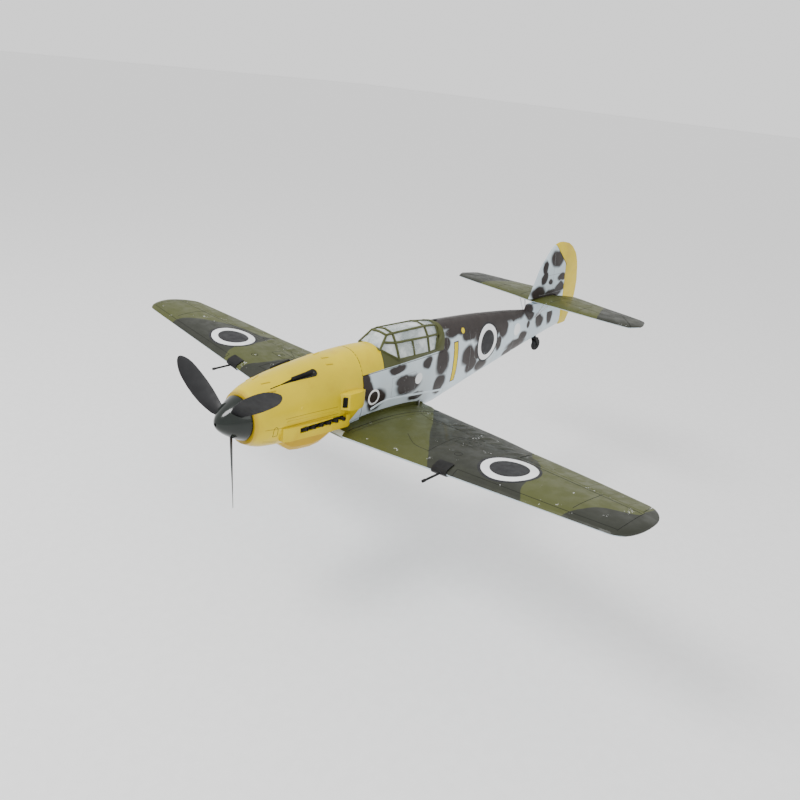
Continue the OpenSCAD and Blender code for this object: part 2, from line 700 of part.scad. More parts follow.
module gear_leg() {
    strut_end = leg_length - main_wheel_d / 2 - 6;
    rotate([90, 0, 0]) cylinder(r = 2, h = 19, center = true);
    difference() {
        rotate([90, 0, 0]) cylinder(r = 4.5, h = 11, center = true);
        translate([-6, -7, -6]) cube([0.5, 14, 12]);
    }
    translate([2, 0, 0]) rotate([0, 90, 0]) cylinder(r = 3, h = strut_end);
    translate([strut_end, 0, -3]) cylinder(r = 3.4, h = arm_z + 4.5);
    translate([strut_end, 0, arm_z]) rotate([0, 90, 0]) cylinder(r = 1.9, h = leg_length - strut_end + 2);
    translate([leg_length, 0, -main_wheel_w / 2 - 0.8]) cylinder(r = 1.6, h = main_wheel_w / 2 + arm_z + 1);
    translate([leg_length, 0, -main_wheel_w / 2 - 1.4]) cylinder(r = 3, h = 1);
    // door plate on two brackets
    translate([6, -9.5, -wheel_drop + 0.2]) cube([leg_length - 30, 19, 1.2]);
    for (x = [16, strut_end - 10]) translate([x, -2, -wheel_drop + 1]) cube([5, 4, wheel_drop - 2]);
}
module gear_leg_left() color("silver") place() gear_frame() gear_leg();
module gear_leg_right() color("silver") place() mirror([1, 0, 0]) gear_frame() gear_leg();
module main_wheel() {
    gear_frame() translate([leg_length, 0, 0]) wheel_solid(main_wheel_d, main_wheel_w, 1.65);
}
module main_wheel_left() color("dimgray") place() main_wheel();
module main_wheel_right() color("dimgray") place() mirror([1, 0, 0]) main_wheel();

// --- hatch: yellow deck, olive sills and rear arch ---
sill_y = 331;
function seam_x(y) = side_x(y, seam_z + 0.3);
canopy_low = [[331, 67], [369, 45], [415, 42], [460, 39.5], [500, 39]];
canopy_half = [[331, 27], [369, 43.5], [415, 41], [460, 38.6], [500, 35.5]];
module hatch_deck() {
    color("gold") place() {
        difference() {
            loft([for (y = [hatch_y0, 285, 297, 309, 321, sill_y]) wall_ring(y, -90, 90, 24, 6)]);
            translate([-70, 250, seam_z - 120.3]) cube([140, 100, 120.6]);
        }
        both_sides() loft([for (y = [sill_y - 1, 340, 350, 360, 369, 392, 415, 437, 460, 480])
            [[seam_x(y) - 5, y, seam_z + 0.3],
             [lookup(y, canopy_half) - 5, y, lookup(y, canopy_low)],
             [lookup(y, canopy_half), y, lookup(y, canopy_low)],
             [seam_x(y), y, seam_z + 0.3]]]);
        rear_arch();
    }
}
module rear_arch() {
    difference() {
        loft([
            arch_ring(478, 39), arch_ring(490, 62), arch_ring(499, 84), arch_ring(hatch_y1, 86)]);
        translate([-30, 470, seam_z]) cube([60, 30, 30]);
    }
}
// closed section from the seam up to the height top, following the fuselage side
function arch_ring(y, top) = [for (k = [0 : 16])
    let (a = -90 + 180 * k / 16)
    [seam_x(y) * sign(sin(a)) * pow(abs(sin(a)), 0.8), y,
     seam_z + 0.3 + (top - seam_z - 0.3) * pow(max(cos(a), 0), 0.62)]];

// canopy: convex glasshouse, flat windscreen, side panes in two rows, flat roof
canopy_points = [
    [27, 331, 67], [18.5, 353.7, 88.7], [0, 353.7, 90.5],
    [30, 368.7, 74.5], [19.5, 368.7, 89.8], [0, 368.7, 93.2], [43.5, 368.7, 45.2],
    [38.6, 460, 39.7], [30, 460, 70], [18, 460, 88], [0, 460, 91],
    [36.2, 482, 39.4], [26.5, 494, 68], [15.5, 496, 84], [0, 497, 87.5]];
module canopy_solid(inset) {
    hull() for (p = canopy_points, s = [-1, 1])
        translate([s * max(p.x - inset, 0), p.y + (p.y < 340 ? inset : p.y > 470 ? -inset : 0),
            p.z - (p.z > 60 ? inset : -0.01)]) cube(0.1, center = true);
}
glass_wall = 1.2;
module canopy_glass() {
    color("aliceblue", 0.4) place() difference() {
        canopy_solid(0.9);
        canopy_solid(0.9 + glass_wall);
    }
}
// frame members between numbered canopy points; [n, m] pairs
canopy_edges = [[0, 1], [1, 2], [0, 6], [1, 4], [3, 15], [3, 4], [4, 5], [3, 6], [6, 7], [3, 8],
    [4, 9], [7, 8], [8, 9], [9, 10], [7, 11], [8, 12], [9, 13], [11, 12], [12, 13], [13, 14],
    [16, 17], [0, 18]];
frame_points = concat(canopy_points, [[23.5, 340, 76], (canopy_points[6] + canopy_points[7]) / 2,
    (canopy_points[3] + canopy_points[8]) / 2, [0, 331, 68.5]]);
bar_w = 2.6;
module canopy_frame() {
    color("darkolivegreen") place()
        for (e = canopy_edges, s = [-1, 1])
            hull() for (n = e) let (p = frame_points[n])
                translate([s * p.x, p.y, p.z - bar_w / 2]) cube(bar_w, center = true);
}
module cockpit_tub() {
    color("dimgray") place() difference() {
        union() {
            translate([-31, 345, 37]) cube([62, 128, 2]);
            translate([-24, 352, 38.5]) cube([48, 3, 20]);
            translate([-17, 440, 38.5]) cube([34, 4, 40]);
            translate([-17, 412, 38.5]) cube([34, 30, 8]);
        }
        translate([-14, 409, 42]) cube([28, 28, 8]);
    }
}

// --- power train ---
motor_y = 62;
module y_rod(r, y0, y1) translate([0, y0, 0]) rotate([-90, 0, 0]) cylinder(r = r, h = y1 - y0);
module y_ring(r, bore, y0, y1) difference() {
    y_rod(r, y0, y1);
    y_rod(bore, y0 - 1, y1 + 1);
}
shaft_r = 2.5;
spinner_y = 42;
spinner_r = 37;
function spinner_at(y) = spinner_r * pow(y / spinner_y, 0.56);
module spinner() {
    color("darkslategray") place() difference() {
        rotate([-90, 0, 0]) rotate_extrude($fn = 96)
            polygon(concat(
                [[4, 1.5]], [for (k = [2 : 20]) let (y = spinner_y * pow(k / 20, 2)) [spinner_at(y), y]],
                [for (k = [20 : -1 : 6]) let (y = spinner_y * pow(k / 20, 2)) [spinner_at(y) - 1.6, y]],
                [[4, 5]]));
        for (k = [0 : blade_count - 1]) rotate([0, blade_start + 360 / blade_count * k, 0])
            translate([0, blade_y, 0]) loft([for (r = [16, 24, 34, 46]) prop_ring(r, 0.6)]);
    }
}
module prop_backplate() {
    color("darkslategray") place() difference() {
        y_rod(spinner_r, spinner_y + 0.05, spinner_y + 2.6);
        y_rod(shaft_r, spinner_y - 1, spinner_y + 4);
    }
}
blade_y = 25;
blade_start = 54.4;
chord_by_r = [[8, 12], [20, 15], [36, 24], [60, 32], [85, 35], [108, 34], [126, 30],
    [138, 24], [146, 16], [150.5, 9], [152.4, 3]];
function blade_twist(r) = 42 - 8 * r / 152;
// the blade centre line sits ahead of the radius near the hub
function lead(r) = 6 * (1 - pow(max(0, r - 50) / 102.4, 1.5)) * min(1, r / 30);
function prop_ring(r, grow = 0) =
    let (f = propeller_d / 304.8, c = lookup(r, chord_by_r) * blade_chord / 35 + 2 * grow,
         th = 1.1 + 4 * pow(1 - r / 154, 1.4) + 2 * grow, b = blade_twist(r), n = 12)
    [for (k = [0 : n - 1]) let (a = 360 * k / n + 15, u = lead(r) - cos(a) / 2 * c, v = sin(a) / 2 * th)
        [-u * cos(b) - v * sin(b), -u * sin(b) + v * cos(b) + 5 * (1 - r / 152.4), r * f]];
module propeller() {
    color("black") place() {
        y_ring(11, shaft_r, 13, spinner_y);
        for (k = [0 : blade_count - 1]) rotate([0, blade_start + 360 / blade_count * k, 0])
            translate([0, blade_y, 0])
                loft([for (r = [8, 14, 22, 34, 48, 64, 82, 100, 114, 126, 135, 142, 147, 150.5, 152.4])
                    prop_ring(r)]);
    }
}
module motor_bell() {
    color("dimgray") place() {
        difference() {
            y_rod(18.5, motor_y - 4, motor_y + 26);
            y_rod(16.6, motor_y - 1.5, motor_y + 30);
            for (a = [0 : 60 : 300]) rotate([0, a, 0]) translate([11, 0, 0])
                y_rod(3.2, motor_y - 6, motor_y);
            y_rod(2, motor_y - 20, motor_y + 40);
        }
        y_rod(shaft_r, 9, motor_y + 33);
        y_ring(6, shaft_r, spinner_y + 2.7, motor_y - 4);
    }
}
module motor_stator() {
    color("peru") place() {
        y_ring(15.6, shaft_r + 0.05, motor_y + 1, motor_y + 24);
        y_ring(16, shaft_r + 0.05, motor_y + 27, motor_y + 34);
        y_ring(6, shaft_r + 0.05, motor_y + 23, motor_y + 28);
    }
}
mount_y = motor_y + 34;
module motor_mount() {
    color("burlywood") place() {
        difference() {
            translate([-22, mount_y, -22]) cube([44, 74, 44]);
            translate([-19, mount_y + 3, -19]) cube([38, 80, 38]);
            y_rod(8, mount_y - 1, mount_y + 5);
            for (a = [45 : 90 : 315]) rotate([0, a, 0]) translate([12.5, 0, 0])
                y_rod(1.6, mount_y - 1, mount_y + 5);
        }
    }
}
tray_z = -24;
module battery_tray() {
    color("burlywood") place() difference() {
        translate([-36, mount_y + 74.1, tray_z]) cube([72, 262, 3]);
        for (x = [-24, 21.6]) translate([x, 234, tray_z - 1]) cube([2.4, 22, 5]);
        for (y = [322, 372]) translate([-14, y, tray_z - 1]) cube([28, 34, 5]);
    }
}
battery_y0 = 192;
battery_size = [36, 106, 27];
module battery() {
    color("darkorange") place()
        translate([-battery_size.x / 2, battery_y0, tray_z + 3.05]) cube(battery_size);
}
module battery_strap() {
    h = battery_size.z + 8;
    color("black") place() translate([0, 245, tray_z + 3.05 + battery_size.z / 2]) difference() {
        cube([46, 20, h], center = true);
        cube([battery_size.x + 0.2, 30, h - 2], center = true);
        translate([0, 0, -battery_size.z / 2 - 1.6]) cube([43.8, 30, 3.2], center = true);
    }
}
module speed_controller() {
    color("darkgreen") place() translate([-15, 200, tray_z - 12.1]) cube([30, 58, 10.9]);
}
module receiver() {
    color("dimgray") place() translate([-13, 386, tray_z + 3.05]) cube([26, 40, 14]);
}

fuselage_left();
fuselage_right();
cowl_upper();
cowl_lower();
chin_cooler();
exhaust_fairings();
exhaust_stacks();
supercharger_intake();
gun_troughs();
wing_center();
wing_left();
wing_right();
wing_spars();
wing_screws();
cannon_pads();
cannon_barrels();
fin();
stabilizer();
stab_struts();
battery_tray();
battery();
battery_strap();
speed_controller();
receiver();
motor_mount();
motor_stator();
aileron_servos();
tail_servos();
retract_units();
motor_bell();
prop_backplate();
propeller();
spinner();
aileron_left();
aileron_right();
aileron_left_horn();
aileron_right_horn();
aileron_left_arm();
aileron_right_arm();
aileron_left_rod();
aileron_right_rod();
elevator_halves();
elevator_joiner();
elevator_horn();
elevator_arm();
elevator_rod();
rudder();
rudder_horn();
rudder_arm();
rudder_rod();
tail_wheel_fork();
tail_wheel();
gear_leg_left();
gear_leg_right();
main_wheel_left();
main_wheel_right();
hatch_deck();
canopy_frame();
canopy_glass();
cockpit_tub();
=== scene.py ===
import math

import bmesh
import bpy
import numpy as np
from mathutils import Matrix, Vector
from mathutils.bvhtree import BVHTree


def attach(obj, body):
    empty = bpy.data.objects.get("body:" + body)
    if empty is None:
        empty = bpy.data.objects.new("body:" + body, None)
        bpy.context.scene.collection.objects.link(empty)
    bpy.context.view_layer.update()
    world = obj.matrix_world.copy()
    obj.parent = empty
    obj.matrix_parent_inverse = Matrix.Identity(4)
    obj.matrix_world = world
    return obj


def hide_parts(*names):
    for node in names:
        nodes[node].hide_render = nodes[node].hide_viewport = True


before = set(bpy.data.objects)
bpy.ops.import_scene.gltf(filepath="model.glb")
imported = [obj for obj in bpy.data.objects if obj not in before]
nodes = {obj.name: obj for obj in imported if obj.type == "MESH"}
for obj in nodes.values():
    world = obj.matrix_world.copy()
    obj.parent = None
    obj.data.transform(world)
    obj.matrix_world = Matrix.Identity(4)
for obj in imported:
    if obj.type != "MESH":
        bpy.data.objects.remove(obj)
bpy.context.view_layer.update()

MM = 0.001
# stations are measured aft of the spinner tip and above the thrust line, in millimetres
STATION = 335
THRUST = 92


def at(x, y, z):
    """A station point in millimetres as a row-frame point in metres."""
    return Vector((x * MM, (y - STATION) * MM, (z + THRUST) * MM))


# ---------------------------------------------------------------- shader building


class Paint:
    """A node material; its methods take sockets or plain values and return sockets."""

    def __init__(self, name, rough=0.5, metallic=0.0, coat=0.0, ior=1.45, specular=0.3):
        self.mat = bpy.data.materials.new(name)
        self.mat.use_nodes = True
        self.tree = self.mat.node_tree
        self.tree.nodes.clear()
        self.out = self.tree.nodes.new("ShaderNodeOutputMaterial")
        self.bsdf = self.tree.nodes.new("ShaderNodeBsdfPrincipled")
        self.tree.links.new(self.bsdf.outputs[0], self.out.inputs[0])
        self.bsdf.inputs["Metallic"].default_value = metallic
        self.bsdf.inputs["Roughness"].default_value = rough
        self.bsdf.inputs["IOR"].default_value = ior
        self.bsdf.inputs["Specular IOR Level"].default_value = specular
        self.bsdf.inputs["Coat Weight"].default_value = coat
        self.coord = self.tree.nodes.new("ShaderNodeTexCoord")
        self.point = self.coord.outputs["Object"]
        self.normal = self.coord.outputs["Normal"]

    def put(self, value, socket):
        if isinstance(value, bpy.types.NodeSocket):
            self.tree.links.new(value, socket)
        elif isinstance(value, (tuple, list, Vector)) and len(value) == 3 and socket.type == "RGBA":
            socket.default_value = (*value, 1)
        else:
            socket.default_value = value

    def math(self, op, a, b=0.0, clamp=False):
        n = self.tree.nodes.new("ShaderNodeMath")
        n.operation = op
        n.use_clamp = clamp
        self.put(a, n.inputs[0])
        self.put(b, n.inputs[1])
        return n.outputs[0]

    def vector(self, op, *args):
        n = self.tree.nodes.new("ShaderNodeVectorMath")
        n.operation = op
        for value, socket in zip(args, n.inputs):
            self.put(value, socket)
        return n.outputs["Value" if op in ("LENGTH", "DISTANCE", "DOT_PRODUCT") else "Vector"]

    def split(self, v):
        n = self.tree.nodes.new("ShaderNodeSeparateXYZ")
        self.put(v, n.inputs[0])
        return n.outputs[0], n.outputs[1], n.outputs[2]

    def join(self, x, y, z):
        n = self.tree.nodes.new("ShaderNodeCombineXYZ")
        for value, socket in zip((x, y, z), n.inputs):
            self.put(value, socket)
        return n.outputs[0]

    def ramp(self, value, low, high, out_low=0.0, out_high=1.0):
        n = self.tree.nodes.new("ShaderNodeMapRange")
        n.interpolation_type = "SMOOTHSTEP"
        for v, s in zip((value, low, high, out_low, out_high), n.inputs):
            self.put(v, s)
        return n.outputs[0]

    def noise(self, scale, detail=3.0, rough=0.55, vector=None, colour=False):
        n = self.tree.nodes.new("ShaderNodeTexNoise")
        self.put(self.point if vector is None else vector, n.inputs["Vector"])
        n.inputs["Scale"].default_value = scale
        n.inputs["Detail"].default_value = detail
        n.inputs["Roughness"].default_value = rough
        return n.outputs["Color" if colour else 0]

    def cells(self, scale):
        n = self.tree.nodes.new("ShaderNodeTexVoronoi")
        self.put(self.point, n.inputs["Vector"])
        n.inputs["Scale"].default_value = scale
        return n.outputs["Distance"]

    def curve(self, value, table, low, high, reach):
        """Smooth curve through (value, result) pairs; value runs low..high, result 0..reach."""
        n = self.tree.nodes.new("ShaderNodeFloatCurve")
        points = n.mapping.curves[0].points
        pairs = [((a - low) / (high - low), b / reach) for a, b in table]
        points[0].location = pairs[0]
        points[1].location = pairs[-1]
        for p in pairs[1:-1]:
            points.new(*p)
        n.mapping.update()
        self.put(self.ramp_linear(value, low * MM, high * MM), n.inputs["Value"])
        return self.math("MULTIPLY", n.outputs[0], reach * MM)

    def ramp_linear(self, value, low, high):
        return self.math("DIVIDE", self.math("SUBTRACT", value, low), high - low, clamp=True)

    def mix(self, factor, a, b):
        n = self.tree.nodes.new("ShaderNodeMix")
        n.data_type = "RGBA"
        self.put(factor, n.inputs[0])
        self.put(a, n.inputs[6])
        self.put(b, n.inputs[7])
        return n.outputs[2]

    def both(self, a, b):
        return self.math("MULTIPLY", a, b)

    def either(self, a, b):
        return self.math("MAXIMUM", a, b)

    def colour(self, value):
        self.put(value, self.bsdf.inputs["Base Color"])

    def rough(self, low, high, scale=60):
        self.put(self.ramp(self.noise(scale, 4), 0.3, 0.7, low, high), self.bsdf.inputs["Roughness"])

    def bump(self, height, distance, strength=1.0):
        n = self.tree.nodes.new("ShaderNodeBump")
        n.inputs["Distance"].default_value = distance
        n.inputs["Strength"].default_value = strength
        self.put(height, n.inputs["Height"])
        self.tree.links.new(n.outputs[0], self.bsdf.inputs["Normal"])


WHITE = (0.86, 0.87, 0.88)
PALE = (0.56, 0.66, 0.72)
BROWN = (0.014, 0.0085, 0.0075)
YELLOW = (0.66, 0.50, 0.0)
# the deeper yellow below is painted shade on the cowl's lower side, and random tone patches elsewhere
YELLOW_SHADE_AND_TONE = (0.46, 0.24, 0.0)
OLIVE = (0.066, 0.074, 0.016)
DARK = (0.020, 0.022, 0.014)
FRAME_OLIVE = (0.062, 0.068, 0.016)


def foam(p, base, low=0.42, high=0.58, chips=0.0):
    """Painted foam: faint bead pattern, uneven sheen, slight tone drift and chipped specks."""
    drift = p.ramp(p.noise(9, 4), 0.3, 0.7)
    tone = p.mix(p.math("MULTIPLY", drift, 0.16), base, (0.004, 0.004, 0.004))
    if chips:
        spots = p.both(p.ramp(p.noise(46, 1), 0.68, 0.71), p.ramp(p.noise(420, 2), 0.62, 0.65))
        tone = p.mix(p.math("MULTIPLY", spots, chips), tone, WHITE)
    p.colour(tone)
    p.rough(low, high, 45)
    beads = p.math("ADD", p.math("MULTIPLY", p.cells(420), 0.6), p.noise(900, 2))
    p.bump(beads, 0.00006, 0.35)
    return p


def sides(p):
    """|x|, y, z of the surface point."""
    x, y, z = p.split(p.point)
    return p.math("ABSOLUTE", x), y, z


# soft airbrushed patches on the fuselage side: station, height, half length, half height
MOTTLES = [
    (279, 26, 13, 17), (285, 4, 14, 22), (308, -16, 24, 20), (366, 28, 20, 8),
    (400, -10, 34, 18), (382, 1, 20, 10), (427, -41, 20, 9), (457, 23, 15, 12),
    (508, 12, 20, 29), (503, -36, 17, 19), (520, 46, 11, 13), (566, 64, 48, 11),
    (598, 3, 24, 22), (612, -20, 20, 18), (604, 52, 26, 15), (672, 44, 52, 20),
    (655, -32, 24, 14), (634, 8, 15, 20), (730, 40, 22, 22), (800, -14, 40, 14),
    (822, 2, 18, 13), (856, 52, 17, 16), (893, 26, 15, 17), (940, 29, 14, 19), (846, 54, 16, 18),
    (843, 27, 7, 8), (780, 53, 12, 10), (716, 6, 12, 16), (768, -28, 16, 9),
]


def mottled(p, patches):
    """Mask of soft-edged patches on both sides."""
    x, y, z = sides(p)
    wander = p.vector("SUBTRACT", p.noise(24, 2, 0.5, colour=True), (0.5, 0.5, 0.5))
    spot = p.vector("MULTIPLY_ADD", wander, (0.0, 0.020, 0.020), p.join(0.0, y, z))
    nearest = None
    for station, height, length, tall in patches:
        centre = at(0, station, height)
        scale = (0.0, 1000 / length, 1000 / tall)
        shift = (0.0, -centre.y * scale[1], -centre.z * scale[2])
        d = p.vector("LENGTH", p.vector("MULTIPLY_ADD", spot, scale, shift))
        nearest = d if nearest is None else p.math("MINIMUM", nearest, d)
    return p.ramp(nearest, 1.34, 0.86)


# height of the dark spine's lower edge along the fuselage
SPINE = [(500, 77), (530, 66), (560, 58), (600, 54), (640, 50), (700, 47), (760, 45), (820, 46),
         (850, 55), (1010, 64)]


# height of the wing fairing's upper edge on the fuselage side
ROOT_FOOT = [(200, -80), (226, -66), (238, -52.5), (260, -45.5), (281, -42.3), (330, -43), (380, -47),
             (420, -53), (450, -61), (470, -70)]


def fuselage_paint():
    p = Paint("fuselage_paint", coat=0.12)
    x, y, z = sides(p)
    wander = p.math("MULTIPLY", p.math("SUBTRACT", p.noise(30, 3), 0.5), 0.016)
    edge = p.curve(y, [(a - STATION, b + THRUST) for a, b in SPINE], 165, 675, 200)
    spine = p.both(p.ramp(p.math("ADD", p.math("SUBTRACT", z, edge), wander), -0.005, 0.005),
                   p.ramp(y, (502 - STATION) * MM, (508 - STATION) * MM))
    dark = p.either(spine, mottled(p, MOTTLES))
    speckle = p.mix(p.ramp(p.noise(700, 2), 0.4, 0.6), BROWN, (0.026, 0.017, 0.014))
    tint = p.mix(p.ramp(p.noise(14, 3), 0.35, 0.65), PALE, (0.60, 0.68, 0.72))
    # the wing's olive runs up the foot of the fuselage side
    foot = p.curve(y, [(a - STATION, b + THRUST) for a, b in ROOT_FOOT], -135, 135, 100)
    nz = p.split(p.normal)[2]
    fairing = p.both(p.ramp(p.math("SUBTRACT", z, foot), 0.0004, -0.0004), p.ramp(nz, -0.62, -0.5))
    fairing = p.both(fairing, p.ramp(y, (474 - STATION) * MM, (470 - STATION) * MM))
    return foam(p, p.mix(fairing, p.mix(dark, tint, speckle), OLIVE), 0.36, 0.50, 0.25).mat


def fin_paint():
    p = Paint("fin_paint", coat=0.1)
    x, y, z = sides(p)
    patches = [(940, 166, 27, 19), (891, 148, 9, 15), (894, 124, 10, 16), (876, 90, 25, 17),
               (936, 84, 42, 12), (973, 118, 19, 8), (970, 96, 22, 11), (922, 112, 10, 6), (846, 56, 17, 18)]
    dark = mottled(p, patches)
    return foam(p, p.mix(dark, PALE, BROWN), 0.38, 0.52).mat


def cowl_paint():
    p = Paint("cowl_paint", coat=0.12)
    x, y, z = sides(p)
    # the yellow stops short of the wing root, where the fuselage's pale paint starts
    slope = p.math("ADD", y, p.math("MULTIPLY", z, -0.9))
    line = (266 - STATION) * MM - 0.9 * (-22 + THRUST) * MM
    pale = p.both(p.ramp(slope, line - 0.0004, line + 0.0004),
                  p.ramp(z, (-17 + THRUST) * MM, (-19 + THRUST) * MM))
    # painted shade: the yellow deepens towards the bottom of the cowl, where less light falls
    low = p.ramp(z, (-20 + THRUST) * MM, (-75 + THRUST) * MM)
    yellow = p.mix(p.math("MULTIPLY", low, 0.65), YELLOW, YELLOW_SHADE_AND_TONE)
    # painted shade: darker orange-yellow at the front edge of the cowl, in the spinner's shade
    spinner_shade = p.ramp(y, (54 - STATION) * MM, (47 - STATION) * MM)
    yellow = p.mix(p.math("MULTIPLY", spinner_shade, 0.5), yellow, (0.35, 0.18, 0.01))
    smudge = p.both(p.ramp(p.noise(26, 4), 0.56, 0.72), 0.22)
    yellow = p.mix(smudge, yellow, YELLOW_SHADE_AND_TONE)
    return foam(p, p.mix(pale, yellow, PALE), 0.28, 0.42).mat


def hatch_paint():
    p = Paint("hatch_paint", coat=0.1)
    x, y, z = sides(p)
    # the colour line leans back towards the seam
    line = p.math("ADD", y, p.math("MULTIPLY", p.math("SUBTRACT", z, (66 + THRUST) * MM), -0.12))
    olive = p.ramp(line, (331.5 - STATION) * MM, (332.3 - STATION) * MM)
    tone = p.mix(p.both(p.ramp(p.noise(22, 3), 0.5, 0.75), 0.2), YELLOW, YELLOW_SHADE_AND_TONE)
    return foam(p, p.mix(olive, tone, FRAME_OLIVE), 0.30, 0.44).mat


LEFT_ROOT = [(200, 262), (216, 252), (260, 219), (306, 182), (373, 134), (440, 82), (490, 46)]
LEFT_OUTER = [(200, 433), (215, 426), (247, 406), (265, 401), (330, 386), (364, 361), (375, 345), (490, 330)]
LEFT_TIP = [(200, 472), (217, 481), (248, 499), (275, 522), (284, 545), (292, 563), (310, 567), (490, 568)]
RIGHT_INNER = [(200, 284), (226, 295), (244, 306), (260, 312), (325, 314), (360, 322), (490, 330)]
RIGHT_OUTER = [(200, 476), (239, 480), (254, 476), (280, 459), (304, 438), (320, 424), (344, 392),
               (362, 345), (490, 330)]
RIGHT_ROOT = [(200, 234), (216, 239), (239, 244), (277, 229), (331, 222), (400, 190), (490, 160)]


def wing_paint():
    p = Paint("wing_paint", coat=0.08)
    x, y, z = p.split(p.point)
    ax = p.math("ABSOLUTE", x)
    wobble = p.math("MULTIPLY", p.math("SUBTRACT", p.noise(55, 3), 0.5), 0.004)
    span = p.math("ADD", ax, wobble)
    low, high, reach = 200 - STATION, 490 - STATION, 650

    def beyond(table):
        line = p.curve(y, [(a - STATION, b) for a, b in table], low, high, reach)
        return p.ramp(p.math("SUBTRACT", span, line), -0.0005, 0.0005)

    def inside(table):
        return p.math("SUBTRACT", 1.0, beyond(table))

    left = p.either(p.both(beyond(LEFT_ROOT), inside(LEFT_OUTER)), beyond(LEFT_TIP))
    right = p.either(p.both(beyond(RIGHT_INNER), inside(RIGHT_OUTER)), inside(RIGHT_ROOT))
    is_left = p.math("GREATER_THAN", x, 0.0)
    dark = p.math("ADD", p.both(is_left, left), p.both(p.math("SUBTRACT", 1.0, is_left), right))
    tone = p.mix(dark, OLIVE, DARK)
    haze = p.both(p.ramp(p.noise(13, 3), 0.50, 0.80), 0.16)
    tone = p.mix(haze, tone, (0.085, 0.092, 0.05))
    nz = p.split(p.normal)[2]
    under = p.ramp(nz, -0.45, -0.6)
    return foam(p, p.mix(under, tone, PALE), 0.40, 0.60, 0.85).mat


def tail_paint():
    p = Paint("tail_paint", coat=0.08)
    x, y, z = sides(p)
    wobble = p.math("MULTIPLY", p.math("SUBTRACT", p.noise(50, 3), 0.5), 0.006)
    lean = p.math("ADD", p.math("ADD", x, wobble), p.math("MULTIPLY", p.math("SUBTRACT", y, 0.6), 0.35))
    dark = p.ramp(lean, 0.1395, 0.1405)
    haze = p.both(p.ramp(p.noise(20, 5), 0.5, 0.8), 0.25)
    nz = p.split(p.normal)[2]
    under = p.ramp(nz, -0.3, -0.45)
    tone = p.mix(haze, p.mix(dark, OLIVE, DARK), (0.085, 0.092, 0.05))
    return foam(p, p.mix(under, tone, PALE), 0.42, 0.60, 0.6).mat


def yellow_paint():
    p = Paint("rudder_paint", coat=0.2)
    tone = p.mix(p.both(p.ramp(p.noise(22, 3), 0.45, 0.75), 0.3), YELLOW, YELLOW_SHADE_AND_TONE)
    return foam(p, tone, 0.34, 0.48, 0.2).mat


def plain_paint(name, base, second, low=0.4, high=0.55, coat=0.0, metallic=0.0, grain=(500, 0.00003)):
    p = Paint(name, coat=coat, metallic=metallic)
    p.colour(p.mix(p.ramp(p.noise(48, 4), 0.35, 0.65), base, second))
    p.rough(low, high, 80)
    p.bump(p.noise(grain[0], 3), grain[1], 0.5)
    return p.mat


def brushed(name, base):
    p = Paint(name, metallic=1.0)
    streak = p.noise(900, 2, vector=p.vector("MULTIPLY", p.point, (1.0, 0.06, 1.0)))
    p.colour(p.mix(streak, base, tuple(c * 0.7 for c in base)))
    p.rough(0.22, 0.38, 200)
    p.bump(streak, 0.00001, 0.4)
    return p.mat


def carbon():
    p = Paint("carbon_weave", coat=0.6)
    x, y, z = p.split(p.point)
    a = p.math("SINE", p.math("MULTIPLY", p.math("ADD", x, y), 3000.0))
    b = p.math("SINE", p.math("MULTIPLY", p.math("SUBTRACT", x, z), 3000.0))
    weave = p.both(a, b)
    p.colour(p.mix(p.ramp(weave, -0.3, 0.3), (0.012, 0.012, 0.014), (0.045, 0.045, 0.05)))
    p.bump(weave, 0.00003, 0.4)
    return p.mat


def plywood():
    p = Paint("birch_ply")
    grain = p.noise(120, 5, vector=p.vector("MULTIPLY", p.point, (1.0, 0.08, 1.0)))
    x, y, z = p.split(p.point)
    ply = p.ramp(p.math("SINE", p.math("MULTIPLY", z, 6300.0)), 0.2, 0.5)
    tone = p.mix(grain, (0.62, 0.44, 0.25), (0.42, 0.27, 0.14))
    nz = p.split(p.normal)[2]
    edge = p.ramp(p.math("ABSOLUTE", nz), 0.5, 0.3)
    p.colour(p.mix(p.both(ply, p.math("MULTIPLY", edge, 0.5)), tone, (0.25, 0.14, 0.07)))
    p.rough(0.55, 0.7)
    p.bump(grain, 0.00005, 0.4)
    return p.mat


def strap_weave():
    p = Paint("strap_weave", rough=0.8)
    x, y, z = p.split(p.point)
    rows = p.both(p.math("SINE", p.math("MULTIPLY", y, 5000.0)),
                  p.math("SINE", p.math("MULTIPLY", x, 4200.0)))
    p.colour(p.mix(p.ramp(rows, -0.2, 0.4), (0.012, 0.012, 0.013), (0.04, 0.04, 0.042)))
    p.bump(rows, 0.0002, 0.6)
    return p.mat


def rubber(name="tyre_rubber"):
    p = Paint(name, rough=0.75)
    p.colour(p.mix(p.ramp(p.noise(70, 4), 0.4, 0.7), (0.012, 0.012, 0.013), (0.03, 0.03, 0.03)))
    p.rough(0.65, 0.85)
    p.bump(p.noise(1500, 2), 0.00008, 0.5)
    return p.mat


def glazing():
    p = Paint("hazy_glazing", rough=0.09, coat=0.5, ior=1.49)
    haze = p.ramp(p.noise(16, 5, 0.65), 0.35, 0.7)
    p.colour(p.mix(haze, (0.60, 0.68, 0.68), (0.86, 0.89, 0.89)))
    p.put(p.ramp(haze, 0.0, 1.0, 0.34, 0.62), p.bsdf.inputs["Alpha"])
    p.rough(0.06, 0.16, 30)
    return p.mat


def winding():
    p = Paint("copper_winding", metallic=0.8, coat=0.4)
    x, y, z = p.split(p.point)
    turns = p.math("SINE", p.math("MULTIPLY", y, 7000.0))
    p.colour(p.mix(p.ramp(turns, -0.5, 0.8), (0.20, 0.07, 0.02), (0.70, 0.30, 0.12)))
    p.bump(turns, 0.0002, 0.7)
    return p.mat


